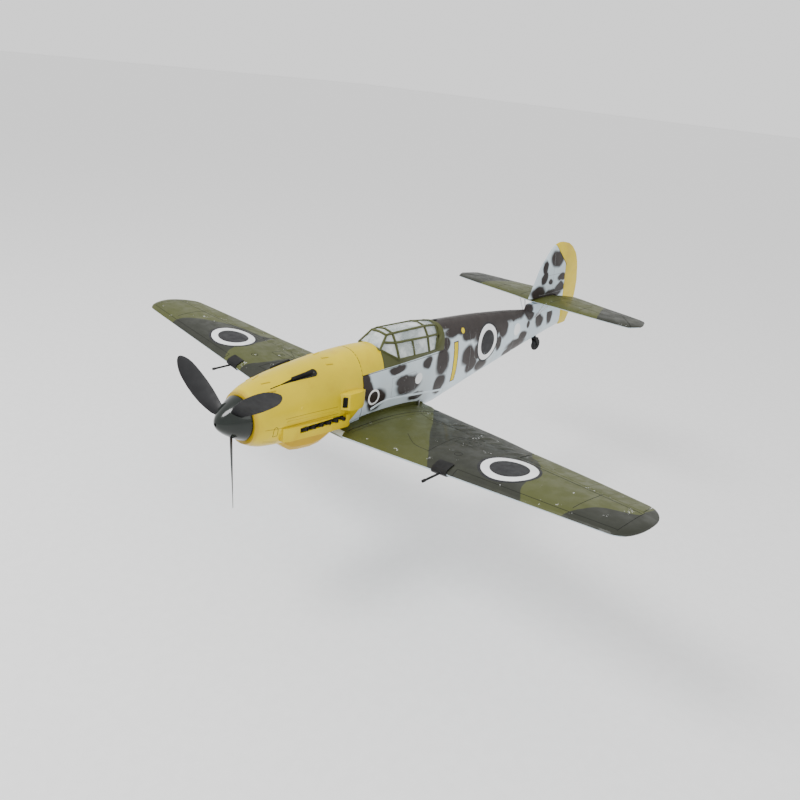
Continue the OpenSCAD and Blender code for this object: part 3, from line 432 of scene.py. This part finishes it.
MAT = {
    "fuselage": fuselage_paint(),
    "fin": fin_paint(),
    "cowl": cowl_paint(),
    "hatch": hatch_paint(),
    "wing": wing_paint(),
    "tail": tail_paint(),
    "rudder": yellow_paint(),
    "frame": plain_paint("frame_olive", FRAME_OLIVE, (0.050, 0.056, 0.013), 0.4, 0.55, 0.1),
    "spinner": plain_paint("spinner_gloss", (0.0035, 0.0075, 0.005), (0.006, 0.010, 0.007), 0.12, 0.22, 0.35),
    "blade": plain_paint("blade_black", (0.0035, 0.0035, 0.0045), (0.007, 0.007, 0.008), 0.42, 0.55),
    "black": plain_paint("moulded_black", (0.004, 0.004, 0.0045), (0.009, 0.009, 0.009), 0.45, 0.65),
    # near-black for the gun barrels, and painted shade standing in for the dark insides of the exhaust and
    # intake recesses
    "black_and_recess_shade": plain_paint("black_and_painted_recess_shade", (0.004, 0.004, 0.004), (0.009, 0.008, 0.008), 0.7, 0.9),
    "trough": plain_paint("trough_grey", (0.022, 0.023, 0.018), (0.014, 0.015, 0.012), 0.42, 0.6),
    "grey": plain_paint("moulded_grey", (0.13, 0.13, 0.14), (0.10, 0.10, 0.105), 0.4, 0.6),
    "interior": plain_paint("cockpit_grey", (0.33, 0.36, 0.35), (0.26, 0.29, 0.28), 0.5, 0.7),
    "nylon": plain_paint("white_nylon", (0.72, 0.72, 0.70), (0.64, 0.64, 0.62), 0.35, 0.5),
    "glass": glazing(),
    "carbon": carbon(),
    "steel": brushed("drawn_steel", (0.60, 0.60, 0.62)),
    "aluminium": brushed("machined_aluminium", (0.56, 0.57, 0.59)),
    "winding": winding(),
    "ply": plywood(),
    "servo": plain_paint("servo_blue", (0.03, 0.07, 0.30), (0.04, 0.09, 0.36), 0.15, 0.3, 0.4),
    "wrap": plain_paint("battery_wrap", (0.62, 0.16, 0.03), (0.52, 0.12, 0.02), 0.2, 0.35, 0.4),
    "board": plain_paint("board_wrap", (0.012, 0.07, 0.03), (0.02, 0.10, 0.04), 0.15, 0.3, 0.5),
    "strap": strap_weave(),
    "tyre": rubber(),
    "line": plain_paint("panel_line", (0.006, 0.0065, 0.005), (0.010, 0.011, 0.008), 0.7, 0.9),
    "line_pale": plain_paint("seam_grey", (0.16, 0.17, 0.18), (0.24, 0.26, 0.27), 0.6, 0.8),
    "line_yellow": plain_paint("seam_yellow", (0.16, 0.085, 0.002), (0.24, 0.13, 0.003), 0.6, 0.8),
    "mark_white": plain_paint("marking_white", WHITE, (0.78, 0.79, 0.80), 0.4, 0.5),
    "mark_grey": plain_paint("marking_grey", (0.012, 0.012, 0.014), (0.018, 0.018, 0.020), 0.45, 0.6),
    "mark_yellow": plain_paint("marking_yellow", (0.70, 0.54, 0.0), (0.60, 0.44, 0.0), 0.4, 0.5),
    "fairing_pale": plain_paint("fairing_pale", (0.62, 0.70, 0.74), PALE, 0.36, 0.5, 0.1),
    "floor": plain_paint("studio_floor", (0.90, 0.90, 0.90), (0.88, 0.88, 0.88), 0.7, 0.8),
}

# ---------------------------------------------------------------- carried-over CAD nodes

NODE_MATERIAL = {
    "fuselage": "fuselage_left fuselage_right wing_center",
    "fin": "fin",
    "cowl": "cowl_upper cowl_lower chin_cooler exhaust_fairings supercharger_intake",
    "hatch": "hatch_deck",
    "wing": "wing_left wing_right aileron_left aileron_right",
    "tail": "stabilizer elevator_halves",
    "rudder": "rudder",
    "spinner": "spinner prop_backplate",
    "blade": "propeller",
    "black": "exhaust_stacks cannon_pads cannon_barrels tail_wheel_fork",
    "trough": "gun_troughs",
    "grey": "receiver retract_units",
    "interior": "cockpit_tub",
    "nylon": "aileron_left_horn aileron_right_horn aileron_left_arm aileron_right_arm"
             " elevator_horn elevator_arm rudder_horn rudder_arm",
    "glass": "canopy_glass",
    "carbon": "wing_spars elevator_joiner",
    "steel": "wing_screws stab_struts aileron_left_rod aileron_right_rod elevator_rod rudder_rod",
    "aluminium": "gear_leg_left gear_leg_right motor_bell",
    "winding": "motor_stator",
    "ply": "battery_tray motor_mount",
    "servo": "aileron_servos tail_servos",
    "wrap": "battery",
    "strap": "battery_strap",
    "board": "speed_controller",
    "tyre": "main_wheel_left main_wheel_right tail_wheel",
    "frame": "canopy_frame",
}
SMOOTH_LIMIT = math.radians(30)


def smoothing_group():
    """Joins split corners, then shades smooth except across sharp edges."""
    g = bpy.data.node_groups.new("smooth_shell", "GeometryNodeTree")
    g.interface.new_socket("Geometry", in_out="INPUT", socket_type="NodeSocketGeometry")
    g.interface.new_socket("Geometry", in_out="OUTPUT", socket_type="NodeSocketGeometry")
    start = g.nodes.new("NodeGroupInput")
    end = g.nodes.new("NodeGroupOutput")
    weld = g.nodes.new("GeometryNodeMergeByDistance")
    weld.inputs["Distance"].default_value = 0.000004
    angle = g.nodes.new("GeometryNodeInputMeshEdgeAngle")
    sharp = g.nodes.new("FunctionNodeCompare")
    sharp.operation = "GREATER_THAN"
    sharp.inputs[1].default_value = SMOOTH_LIMIT
    faces = g.nodes.new("GeometryNodeSetShadeSmooth")
    edges = g.nodes.new("GeometryNodeSetShadeSmooth")
    edges.domain = "EDGE"
    edges.inputs["Shade Smooth"].default_value = False
    g.links.new(start.outputs[0], weld.inputs[0])
    g.links.new(weld.outputs[0], faces.inputs[0])
    g.links.new(faces.outputs[0], edges.inputs[0])
    g.links.new(angle.outputs["Unsigned Angle"], sharp.inputs[0])
    g.links.new(sharp.outputs[0], edges.inputs["Selection"])
    g.links.new(edges.outputs[0], end.inputs[0])
    return g


SMOOTH = smoothing_group()
BEVELLED = {"battery": 1.5, "speed_controller": 1.5, "receiver": 1.0, "battery_tray": 0.4, "cockpit_tub": 0.8,
            "motor_mount": 0.4, "retract_units": 0.6, "aileron_servos": 0.4, "tail_servos": 0.4}


def add_smooth(o):
    m = o.modifiers.new("smooth", "NODES")
    m.node_group = SMOOTH


def add_bevel(o, width, segments=2):
    weld = o.modifiers.new("weld", "WELD")
    weld.merge_threshold = 0.000004
    b = o.modifiers.new("bevel", "BEVEL")
    b.width = width * MM
    b.segments = segments
    b.limit_method = "ANGLE"
    b.angle_limit = math.radians(40)


for key, names in NODE_MATERIAL.items():
    for name in names.split():
        o = nodes[name]
        o.data.materials.clear()
        o.data.materials.append(MAT[key])
        if name in BEVELLED:
            add_bevel(o, BEVELLED[name])
        add_smooth(o)

# ---------------------------------------------------------------- surfaces to lay details on


def tree_of(*names):
    verts, polys = [], []
    for n in names:
        mesh = nodes[n].data
        base = len(verts)
        verts += [v.co.copy() for v in mesh.vertices]
        polys += [[base + i for i in f.vertices] for f in mesh.polygons]
    return BVHTree.FromPolygons(verts, polys)


TREES = {
    "wing": tree_of("wing_left", "wing_right"),
    "aileron": tree_of("aileron_left", "aileron_right"),
    "hull": tree_of("fuselage_left", "fuselage_right", "cowl_upper", "cowl_lower"),
    "tail": tree_of("stabilizer"),
    "elevator": tree_of("elevator_halves"),
    "rudder": tree_of("rudder"),
    "fin": tree_of("fin"),
}
DIRECTIONS = {"top": Vector((0, 0, -1)), "bottom": Vector((0, 0, 1)),
              "left": Vector((-1, 0, 0)), "right": Vector((1, 0, 0))}
DROP_START = 0.6  # m before the point, outside the model
DROP_REACH = 1.5  # m


def drop(tree, direction, p):
    """Where a straight drop through point p first meets the surface, with its outward normal."""
    d = DIRECTIONS[direction]
    hit, normal = TREES[tree].ray_cast(p - d * DROP_START, d, DROP_REACH)[:2]
    if hit is None:
        return None
    if normal.dot(d) > 0:
        normal = -normal
    return hit, normal


def smooth_line(points, step=3.0, straight=False):
    """Points along a polyline, or along a smooth curve through it, about step mm apart."""
    pts = [np.array(p, float) for p in points]
    out = []
    for i in range(len(pts) - 1):
        a, b = pts[i], pts[i + 1]
        before = pts[i - 1] if i else 2 * a - b
        after = pts[i + 2] if i + 2 < len(pts) else 2 * b - a
        n = max(1, int(np.linalg.norm(b - a) / step))
        for k in range(n):
            t = k / n
            if straight:
                out.append(a + (b - a) * t)
            else:
                out.append(0.5 * (2 * a + (b - before) * t + (2 * before - 5 * a + 4 * b - after) * t * t
                                  + (3 * a - before - 3 * b + after) * t ** 3))
    out.append(pts[-1])
    return out


def new_piece(name, verts, faces, material, body, smooth=False):
    mesh = bpy.data.meshes.new(name)
    mesh.from_pydata([tuple(v) for v in verts], [], faces)
    mesh.materials.append(MAT[material])
    o = bpy.data.objects.new(name, mesh)
    bpy.context.scene.collection.objects.link(o)
    work = bmesh.new()
    work.from_mesh(mesh)
    bmesh.ops.recalc_face_normals(work, faces=work.faces)
    work.to_mesh(mesh)
    work.free()
    if smooth:
        add_smooth(o)
    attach(o, body)
    return o


FLAT_SECTION = [(-1, None), (-0.75, 1), (0.75, 1), (1, None)]
ROUND_SECTION = [(-1, None), (-1, 0.03), (-0.7, 0.38), (-0.35, 0.85), (0, 1), (0.35, 0.85), (0.7, 0.38),
                 (1, 0.03), (1, None)]


def band(verts, faces, line, width, height, sink=0.25, section=FLAT_SECTION, fade=False):
    """Adds a closed raised band along (point, normal) pairs; height and sink are in mm."""
    base = len(verts)
    n, m = len(line), len(section)
    for i, (p, up) in enumerate(line):
        ahead = line[min(i + 1, n - 1)][0] - line[max(i - 1, 0)][0]
        side = ahead.cross(up).normalized() * (width * MM / 2)
        share = math.sin(math.pi * (i + 0.15) / (n - 0.7)) ** 0.5 if fade else 1
        for across, rise in section:
            lift = -sink if rise is None else rise * height * share
            verts.append(p + side * across + up * (lift * MM))
    for i in range(n - 1):
        a, b = base + m * i, base + m * i + m
        faces += [[a + j, a + (j + 1) % m, b + (j + 1) % m, b + j] for j in range(m)]
    faces.append([base + j for j in range(m)])
    faces.append([base + m * n - m + j for j in range(m - 1, -1, -1)])


def station_point(direction, a, b, mirror=1):
    """2-D details are (x, y) seen from the top and (y, z) seen from the side."""
    if direction in ("top", "bottom"):
        return at(mirror * a, b, 0)
    return at(0, a, b)


def lines_piece(name, tree, direction, lines, width, height, material, body="airframe", mirrored=True,
                straight=False, step=3.0, round_top=False):
    verts, faces = [], []
    extra = {"section": ROUND_SECTION, "fade": True} if round_top else {}
    for mirror in ((1, -1) if mirrored else (1,)):
        way = direction
        if mirror < 0 and direction == "left":
            way = "right"
        for pts in lines:
            run = []
            for a, b in smooth_line(pts, step, straight):
                found = drop(tree, way, station_point(way, a, b, mirror))
                if found:
                    run.append(found)
                elif len(run) > 1:
                    band(verts, faces, run, width, height, **extra)
                    run = []
            if len(run) > 1:
                band(verts, faces, run, width, height, **extra)
    return new_piece(name, verts, faces, material, body, smooth=round_top)


EDGE_SINK = 0.2  # mm under the surface at the edges of a patch


def decal(name, tree, direction, outline, height, material, body="airframe", mirror=1, rings=8, hole=0.0):
    """A thin patch that follows the surface inside a closed outline around its own centre.
    hole leaves the middle open, as a share of the outline."""
    centre = np.mean(np.array(outline, float), axis=0)
    way = "right" if mirror < 0 and direction == "left" else direction
    levels = [hole + (1 - hole) * k / rings for k in range(0 if hole else 1, rings + 1)]
    verts, faces = [], []
    n = len(outline)

    def surface(a, b, rise):
        hit, normal = drop(tree, way, station_point(way, a, b, mirror))
        return hit + normal * rise * MM

    if not hole:
        verts.append(surface(centre[0], centre[1], height))
    start = len(verts)
    if hole:
        verts += [surface(*(centre + (np.array(q) - centre) * levels[0]), -EDGE_SINK) for q in outline]
    for s in levels:
        verts += [surface(*(centre + (np.array(q) - centre) * s), height) for q in outline]
    verts += [surface(*q, -EDGE_SINK) for q in outline]
    count = len(levels) + (2 if hole else 1)
    for k in range(count - 1):
        for j in range(n):
            a, b = start + k * n + j, start + k * n + (j + 1) % n
            faces.append([a, b, b + n, a + n])
    if not hole:
        faces += [[0, start + (j + 1) % n, start + j] for j in range(n)]
    return new_piece(name, verts, faces, material, body)


def circle(cx, cy, rx, ry=None, n=64):
    ry = ry or rx
    return [(cx + rx * math.cos(2 * math.pi * k / n),
             cy + ry * math.sin(2 * math.pi * k / n)) for k in range(n)]


def densify(points, step=4.0):
    """Closed outline with its straight sides divided."""
    out = []
    for (ax, ay), (bx, by) in zip(points, points[1:] + points[:1]):
        n = max(1, int(math.hypot(bx - ax, by - ay) / step))
        out += [(ax + (bx - ax) * k / n, ay + (by - ay) * k / n) for k in range(n)]
    return out


# ---------------------------------------------------------------- wing and tail lines

ROOT_FAIRING = [(57, 236), (66, 262), (70, 300), (71, 345), (73, 395), (80, 440), (82, 460)]
lines_piece("wing_root_line", "wing", "top", [ROOT_FAIRING], 1.6, 0.3, "line")
WING_LINES = [
    [(67, 236), (76, 262), (81, 300), (83, 345), (85, 395), (91, 440), (93, 452)],
    [(498, 321), (496, 290), (491, 246)],
    [(564, 234), (567, 262), (568, 308)],
    [(221, 255), (219, 300), (217, 333), (226, 350), (256, 366)],
    [(86, 398), (128, 380), (169, 381), (216, 382)],
    [(150, 286), (186, 262), (221, 257)],
]
lines_piece("wing_panel_lines", "wing", "top", WING_LINES, 1.2, 0.1, "line")
WING_STRAIGHT = [
    [(295, 239), (478, 236)], [(295, 239), (296, 226)], [(478, 236), (564, 236)],
    [(226, 320), (262, 320), (262, 347), (226, 347), (226, 320)],
    [(334, 352), (334, 403)], [(120, 392), (334, 352)],
]
lines_piece("wing_hatch_lines", "wing", "top", WING_STRAIGHT, 1.2, 0.1, "line", straight=True)
lines_piece("wing_access_rings", "wing", "top",
            [circle(265, 279, 6.5, n=24) + [(271.5, 279)], circle(243, 333, 4, n=20) + [(247, 333)]],
            1.2, 0.12, "line")
lines_piece("aileron_bay_lines", "wing", "top", [[(334, 344.5), (345, 342.5), (566, 302.5)]], 1.6, 0.12,
            "line", straight=True)
lines_piece("root_foot_line", "hull", "left", [ROOT_FOOT[2:-2]], 1.1, 0.1, "line")
UNDER_LINES = [[(66, 240), (75, 330), (84, 450)], [(150, 250), (150, 430)], [(296, 240), (300, 395)],
               [(430, 235), (438, 375)], [(564, 246), (566, 330)], [(100, 330), (560, 318)]]
lines_piece("wing_under_lines", "wing", "bottom", UNDER_LINES, 0.8, 0.06, "line_pale", straight=True)

RIPPLES = [[(159 + 25.5 * k, 389 - 6.5 * k), (167 + 25.5 * k, 408 - 7.3 * k), (175 + 25.5 * k, 425 - 8.2 * k)]
           for k in range(7)]
lines_piece("flap_ribs", "wing", "top", RIPPLES, 13, 1.7, "wing", step=2.0, round_top=True)

TAIL_LINES = [[(186.5, 947), (243, 882)], [(40, 876), (40, 940)], [(110, 878), (112, 944)],
              [(60, 915), (186, 912)]]
lines_piece("stabilizer_lines", "tail", "top", TAIL_LINES, 1.2, 0.1, "line", straight=True)
ELEVATOR_LINES = [[(x, 957), (x + 2, 985)] for x in (60, 100, 140, 180)]
lines_piece("elevator_ribs", "elevator", "top", ELEVATOR_LINES, 1.6, 0.25, "tail", "elevator_body",
            straight=True)
for side, mirror in (("left", 1), ("right", -1)):
    ribs = [[(x, 358 - 0.185 * (x - 336)), (x + 3, 392 - 0.24 * (x - 336))] for x in range(360, 560, 36)]
    verts, faces = [], []
    for pts in ribs:
        run = [drop("aileron", "top", station_point("top", a, b, mirror))
               for a, b in smooth_line(pts, 3, True)]
        run = [r for r in run if r]
        if len(run) > 1:
            band(verts, faces, run, 1.6, 0.2)
    new_piece("aileron_ribs_" + side, verts, faces, "wing", f"aileron_{side}_body")
RUDDER_LINES = [[(1012, z), (1040, z - 1)] for z in (25, 60, 95, 130)]
lines_piece("rudder_ribs", "rudder", "left", RUDDER_LINES, 1.4, 0.2, "rudder", "rudder_body", straight=True)
FIN_LINES = [[(880, 86), (985, 86)], [(935, 92), (925, 190)], [(905, 130), (975, 130)]]
lines_piece("fin_lines", "fin", "left", FIN_LINES, 0.8, 0.06, "line_pale", straight=True)

# ---------------------------------------------------------------- fuselage and cowl lines

lines_piece("fuselage_seams", "hull", "left",
            [[(274, 35), (330, 34.6), (420, 33.8), (506, 32.6)]], 1.1, 0.12, "line")
HULL_LINES = [[(520, 60), (522, 0), (526, -60)], [(600, 55), (604, 0), (610, -55)],
              [(694, 50), (700, 8), (706, -40)], [(775, 45), (780, 12), (786, -30)],
              [(845, 44), (850, 20), (856, -18)], [(350, 14), (420, 12), (420, -26), (350, -24), (350, 14)]]
lines_piece("fuselage_panel_lines", "hull", "left", HULL_LINES, 0.6, 0.05, "line_pale", straight=True)
ROOT_RIDGE = [(296, -33), (330, -26), (374, -30), (430, -38), (478, -46), (520, -53)]
lines_piece("root_ridge", "hull", "left", [ROOT_RIDGE], 4.5, 1.0, "fairing_pale")
lines_piece("spine_lines", "hull", "top", [[(7, 516), (7, 800)]], 0.7, 0.06, "line")

COWL_LINES = [
    [(62, -10), (100, -13), (160, -15), (214, -18)],
    [(64, -33), (92, -39)], [(64, -36), (92, -42)],
    [(100, 1), (150, -1), (212, -5)],
]
lines_piece("cowl_side_lines", "hull", "left", COWL_LINES, 0.9, 0.08, "line_yellow")
lines_piece("cowl_crease", "hull", "left", [[(104, -5), (160, -9), (212, -13)]], 3.0, 0.8, "cowl")
DOOR = [(78, -34), (86, -34), (86, -22), (84.5, -18), (82, -16.5), (79.5, -18), (78, -22), (78, -34)]
lines_piece("filler_door", "hull", "left", [[(y, z + 8) for y, z in DOOR]], 1.0, 0.1, "line", straight=True,
            mirrored=False)
lines_piece("cowl_rear_seam", "hull", "left", [[(271.9, 34), (271.9, 0), (271.9, -46)]], 1.0, 0.1, "line")
lines_piece("cowl_top_seam", "hull", "top", [[(0, 271.9), (20, 271.9), (46, 271.9)]], 1.0, 0.1, "line")
LOUVRES = [[(10, 78), (15, 92)], [(27, 78), (30, 92)], [(9, 205), (12, 218)], [(24, 203), (26, 216)]]
lines_piece("cowl_louvres", "hull", "top", LOUVRES, 3.0, 0.9, "cowl", straight=True,
            step=2)
lines_piece("cowl_louvre_slots", "hull", "top", [[(a + 2.2, b) for a, b in pts] for pts in LOUVRES], 0.9,
            0.15, "line_yellow", straight=True, step=2)


def dome(name, tree, direction, a, b, radius, height, material, body="airframe", mirror=1):
    """A low round boss on the surface."""
    way = "right" if mirror < 0 and direction == "left" else direction
    hit, normal = drop(tree, way, station_point(way, a, b, mirror))
    turn = normal.to_track_quat("Z", "Y").to_matrix().to_4x4()
    turn.translation = hit
    verts, faces = [], []
    levels, n = 6, 28
    for i in range(levels):
        t = math.pi / 2 * i / levels
        for k in range(n):
            c = 2 * math.pi * k / n
            spot = (radius * math.cos(t) * math.cos(c), radius * math.cos(t) * math.sin(c),
                    height * math.sin(t) - (0.4 if i == 0 else 0))
            verts.append(turn @ (Vector(spot) * MM))
    verts.append(turn @ Vector((0, 0, height * MM)))
    for i in range(levels - 1):
        for k in range(n):
            q, r = i * n + k, i * n + (k + 1) % n
            faces.append([q, r, r + n, q + n])
    faces += [[(levels - 1) * n + k, (levels - 1) * n + (k + 1) % n, levels * n] for k in range(n)]
    return new_piece(name, verts, faces, material, body, smooth=True)


dome("cowl_boss_left", "hull", "left", 133, 12, 3.2, 1.3, "cowl")
dome("cowl_boss_right", "hull", "left", 133, 12, 3.2, 1.3, "cowl", mirror=-1)


def rounded_box(name, low, high, radius, material, body="airframe", turn=None):
    """A box between two station corners with rounded edges."""
    work = bmesh.new()
    bmesh.ops.create_cube(work, size=1.0)
    size = Vector([h - l for l, h in zip(low, high)])
    middle = Vector([(l + h) / 2 for l, h in zip(low, high)])
    bmesh.ops.scale(work, vec=size, verts=work.verts)
    bmesh.ops.bevel(work, geom=work.edges[:], offset=radius, segments=3, profile=0.5, affect="EDGES")
    if turn:
        bmesh.ops.rotate(work, cent=(0, 0, 0), matrix=turn, verts=work.verts)
    verts = [at(*(v.co + middle)) for v in work.verts]
    faces = [[v.index for v in f.verts] for f in work.faces]
    work.free()
    return new_piece(name, verts, faces, material, body, smooth=True)


def rod(name, a, b, r0, r1, material, body="airframe", n=20):
    """A round bar between two station points with domed ends."""
    a, b = at(*a), at(*b)
    axis = (b - a).normalized()
    turn = axis.to_track_quat("Z", "Y").to_matrix()
    verts, faces = [], []
    rings = [(a, r0 * 0.6, -0.35 * r0), (a, r0, 0), (b, r1, 0), (b, r1 * 0.6, 0.35 * r1)]
    for origin, r, along in rings:
        for k in range(n):
            c = 2 * math.pi * k / n
            verts.append(origin + turn @ (Vector((r * math.cos(c), r * math.sin(c), along)) * MM))
    for i in range(len(rings) - 1):
        for k in range(n):
            q, t = i * n + k, i * n + (k + 1) % n
            faces.append([q, t, t + n, q + n])
    faces.append(list(range(n))[::-1])
    faces.append(list(range((len(rings) - 1) * n, len(rings) * n)))
    return new_piece(name, verts, faces, material, body, smooth=True)


for side, s in (("left", 1), ("right", -1)):
    rod("gun_barrel_" + side, (s * 27.5, 128, 57.6), (s * 29, 168, 61.6), 2.6, 3.2, "black_and_recess_shade")
    # painted shade: a thin dark slab stands in for the shade inside each exhaust recess
    rounded_box("exhaust_recess_shade_" + side, (s * 51.4 - 0.9, 129, -32.5), (s * 51.4 + 0.9, 226, -22.5), 0.6,
                "black_and_recess_shade", turn=Matrix.Rotation(math.radians(-3), 3, "X"))
# painted shade: a dark box stands in for the shade inside the intake mouth
rounded_box("intake_recess_shade", (55, 222, -7), (60.6, 233, 11), 1.2, "black_and_recess_shade")
for k in range(2):
    rounded_box(f"intake_vane_{k}", (55.6 + 2.6 * k, 219, -7), (56.4 + 2.6 * k, 228, 11), 0.3, "black")
rounded_box("hatch_latch", (-2.5, 509, 84.4), (2.5, 518, 87), 0.8, "black")

# ---------------------------------------------------------------- markings, all plain shapes

for side, mirror in (("left", 1), ("right", -1)):
    wing_mark = circle(355, 292, 50)
    decal("wing_disc_" + side, "wing", "top", wing_mark, 0.10, "mark_grey", mirror=mirror)
    decal("wing_ring_" + side, "wing", "top", circle(355, 292, 45), 0.20, "mark_white", mirror=mirror,
          hole=0.70)
    body_mark = circle(668, 18, 41, 43)
    decal("side_disc_" + side, "hull", "left", body_mark, 0.10, "mark_grey", mirror=mirror)
    decal("side_ring_" + side, "hull", "left", circle(668, 18, 37, 39), 0.20, "mark_white", mirror=mirror,
          hole=0.70)
    decal("fuel_disc_" + side, "hull", "left", circle(301, -10, 15, n=40), 0.12, "mark_white", mirror=mirror,
          hole=0.74)
    decal("side_dot_" + side, "hull", "left", circle(430, -5, 11, n=36), 0.12, "mark_white", mirror=mirror)
    decal("rear_dot_" + side, "hull", "left", circle(792, 23, 14, n=40), 0.12, "mark_white", mirror=mirror)
    decal("small_dot_" + side, "hull", "left", circle(577, 60, 5.5, n=24), 0.12, "mark_yellow", mirror=mirror)
    band_edge = [(542, 44), (558, 44), (558, -42), (542, -42)]
    band_fill = [(544, 42), (556, 42), (556, -40), (544, -40)]
    decal("bar_edge_" + side, "hull", "left", densify(band_edge), 0.10, "mark_grey", mirror=mirror)
    decal("bar_fill_" + side, "hull", "left", densify(band_fill), 0.20, "mark_yellow", mirror=mirror)

# ---------------------------------------------------------------- canopy frame strips

CANOPY = [
    (27, 331, 67), (18.5, 353.7, 88.7), (0, 353.7, 90.5),
    (30, 368.7, 74.5), (19.5, 368.7, 89.8), (0, 368.7, 93.2), (43.5, 368.7, 45.2),
    (38.6, 460, 39.7), (30, 460, 70), (18, 460, 88), (0, 460, 91),
    (36.2, 482, 39.4), (26.5, 494, 68), (15.5, 496, 84), (0, 497, 87.5),
]
BARS = [(0, 1), (1, 2), (0, 6), (1, 4), (3, 4), (4, 5), (3, 6), (6, 7), (3, 8), (4, 9), (7, 8), (8, 9),
        (9, 10), (7, 11), (8, 12), (9, 13), (11, 12), (12, 13), (13, 14)]
EXTRA = [((0, 331, 68.5), (27, 331, 67)), ((41, 414.5, 42.4), (30, 414.5, 72.2)),
         ((22.8, 342, 77.8), (30, 368.7, 74.5))]
CANOPY_AXIS_Z = 46


def canopy_strips():
    verts, faces = [], []
    pairs = [(CANOPY[i], CANOPY[j]) for i, j in BARS] + EXTRA
    for a, b in pairs:
        for s in (1, -1):
            p, q = Vector((s * a[0], a[1], a[2])), Vector((s * b[0], b[1], b[2]))
            middle = (p + q) / 2
            along = (q - p).normalized()
            out = middle - Vector((0, min(max(middle.y, 372), 458), CANOPY_AXIS_Z))
            out = (out - along * out.dot(along)).normalized()
            line = []
            for k in range(5):
                point = p - along * 1.0 + (q - p + along * 2.0) * k / 4 + out * 0.2
                line.append((at(*point), out))
            band(verts, faces, line, 4.8, 1.0, 1.6)
    o = new_piece("canopy_frame_strips", verts, faces, "frame", "hatch_body", smooth=False)
    add_bevel(o, 0.35)
    add_smooth(o)
    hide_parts("canopy_frame")


canopy_strips()

# ---------------------------------------------------------------- wheels and small hardware


def lathe(name, centre, axis, profile, material, body, n=48):
    """Closed ring profile of (radius, offset) pairs in mm, turned about an axis."""
    turn = Vector(axis).normalized().to_track_quat("Z", "Y").to_matrix()
    verts, faces = [], []
    m = len(profile)
    for k in range(n):
        c = 2 * math.pi * k / n
        for r, h in profile:
            verts.append(centre + turn @ (Vector((r * math.cos(c), r * math.sin(c), h)) * MM))
    for k in range(n):
        for i in range(m):
            a, b = k * m + i, k * m + (i + 1) % m
            faces.append([a, b, ((k + 1) % n) * m + (i + 1) % m, ((k + 1) % n) * m + i])
    return new_piece(name, verts, faces, material, body, smooth=True)


def wheel_hub(name, centre, axis, radius, width, body, material="aluminium"):
    h = width / 2
    for sign in (1, -1):
        profile = [(1.8, sign * (h + 0.3)), (radius * 0.35, sign * (h + 0.5)),
                   (radius * 0.45, sign * (h - 0.4)),
                   (radius * 0.52, sign * (h + 0.3)), (radius * 0.56, sign * (h - 0.2)),
                   (radius * 0.5, sign * (h - 1.2)), (1.8, sign * (h - 1.2))]
        lathe(f"{name}_{'a' if sign > 0 else 'b'}", centre, axis, profile, material, body)


wheel_hub("tail_hub", at(0, 915, -41), (1, 0, 0), 15, 9, "tail_wheel_body", "black")
for side, s in (("left", 1), ("right", -1)):
    wheel_hub("main_hub_" + side, Vector((s * 0.187135, -0.056, 0.0398906)), (-s * 0.124035, 0, 0.992278), 30,
              15, f"wheel_{side}_body")

# ---------------------------------------------------------------- stage, light and camera

work = bmesh.new()
bmesh.ops.create_grid(work, x_segments=24, y_segments=24, size=40)
mesh = bpy.data.meshes.new("studio_floor")
work.to_mesh(mesh)
work.free()
floor = bpy.data.objects.new("studio_floor", mesh)
floor.location = (0, 0, -0.30)
mesh.materials.append(MAT["floor"])
bpy.context.scene.collection.objects.link(floor)

world = bpy.data.worlds.new("studio")
bpy.context.scene.world = world
world.use_nodes = True
world.node_tree.nodes["Background"].inputs[0].default_value = (1.0, 1.0, 1.0, 1)
world.node_tree.nodes["Background"].inputs[1].default_value = 1.25


def area(name, place, target, size, power, tint=(1, 1, 1)):
    data = bpy.data.lights.new(name, "AREA")
    data.shape = "DISK"
    data.size = size
    data.energy = power
    data.color = tint
    o = bpy.data.objects.new(name, data)
    o.location = place
    o.rotation_euler = (Vector(target) - Vector(place)).to_track_quat("-Z", "Y").to_euler()
    bpy.context.scene.collection.objects.link(o)


area("key", (-0.6, -1.9, 2.6), (0, 0, 0.1), 1.2, 75)
area("fill", (2.6, -0.6, 1.4), (0, 0, 0.1), 2.2, 16)

RIGHT = Vector((0.7321, 0.6739, 0.1000))
BACK = Vector((0.5919, -0.7018, 0.3964))
FOCAL = 33.84
camera_data = bpy.data.cameras.new("camera")
camera_data.lens = FOCAL
camera_data.sensor_width = 36
camera_data.clip_start = 0.02
camera_data.clip_end = 200
camera = bpy.data.objects.new("camera", camera_data)
back = BACK.normalized()
right = (RIGHT - back * RIGHT.dot(back)).normalized()
up = back.cross(right)
pose = Matrix((right, up, back)).transposed().to_4x4()
pose.translation = Vector((0.8823, -0.9474, 0.6153))
camera.matrix_world = pose
bpy.context.scene.collection.objects.link(camera)
bpy.context.scene.camera = camera
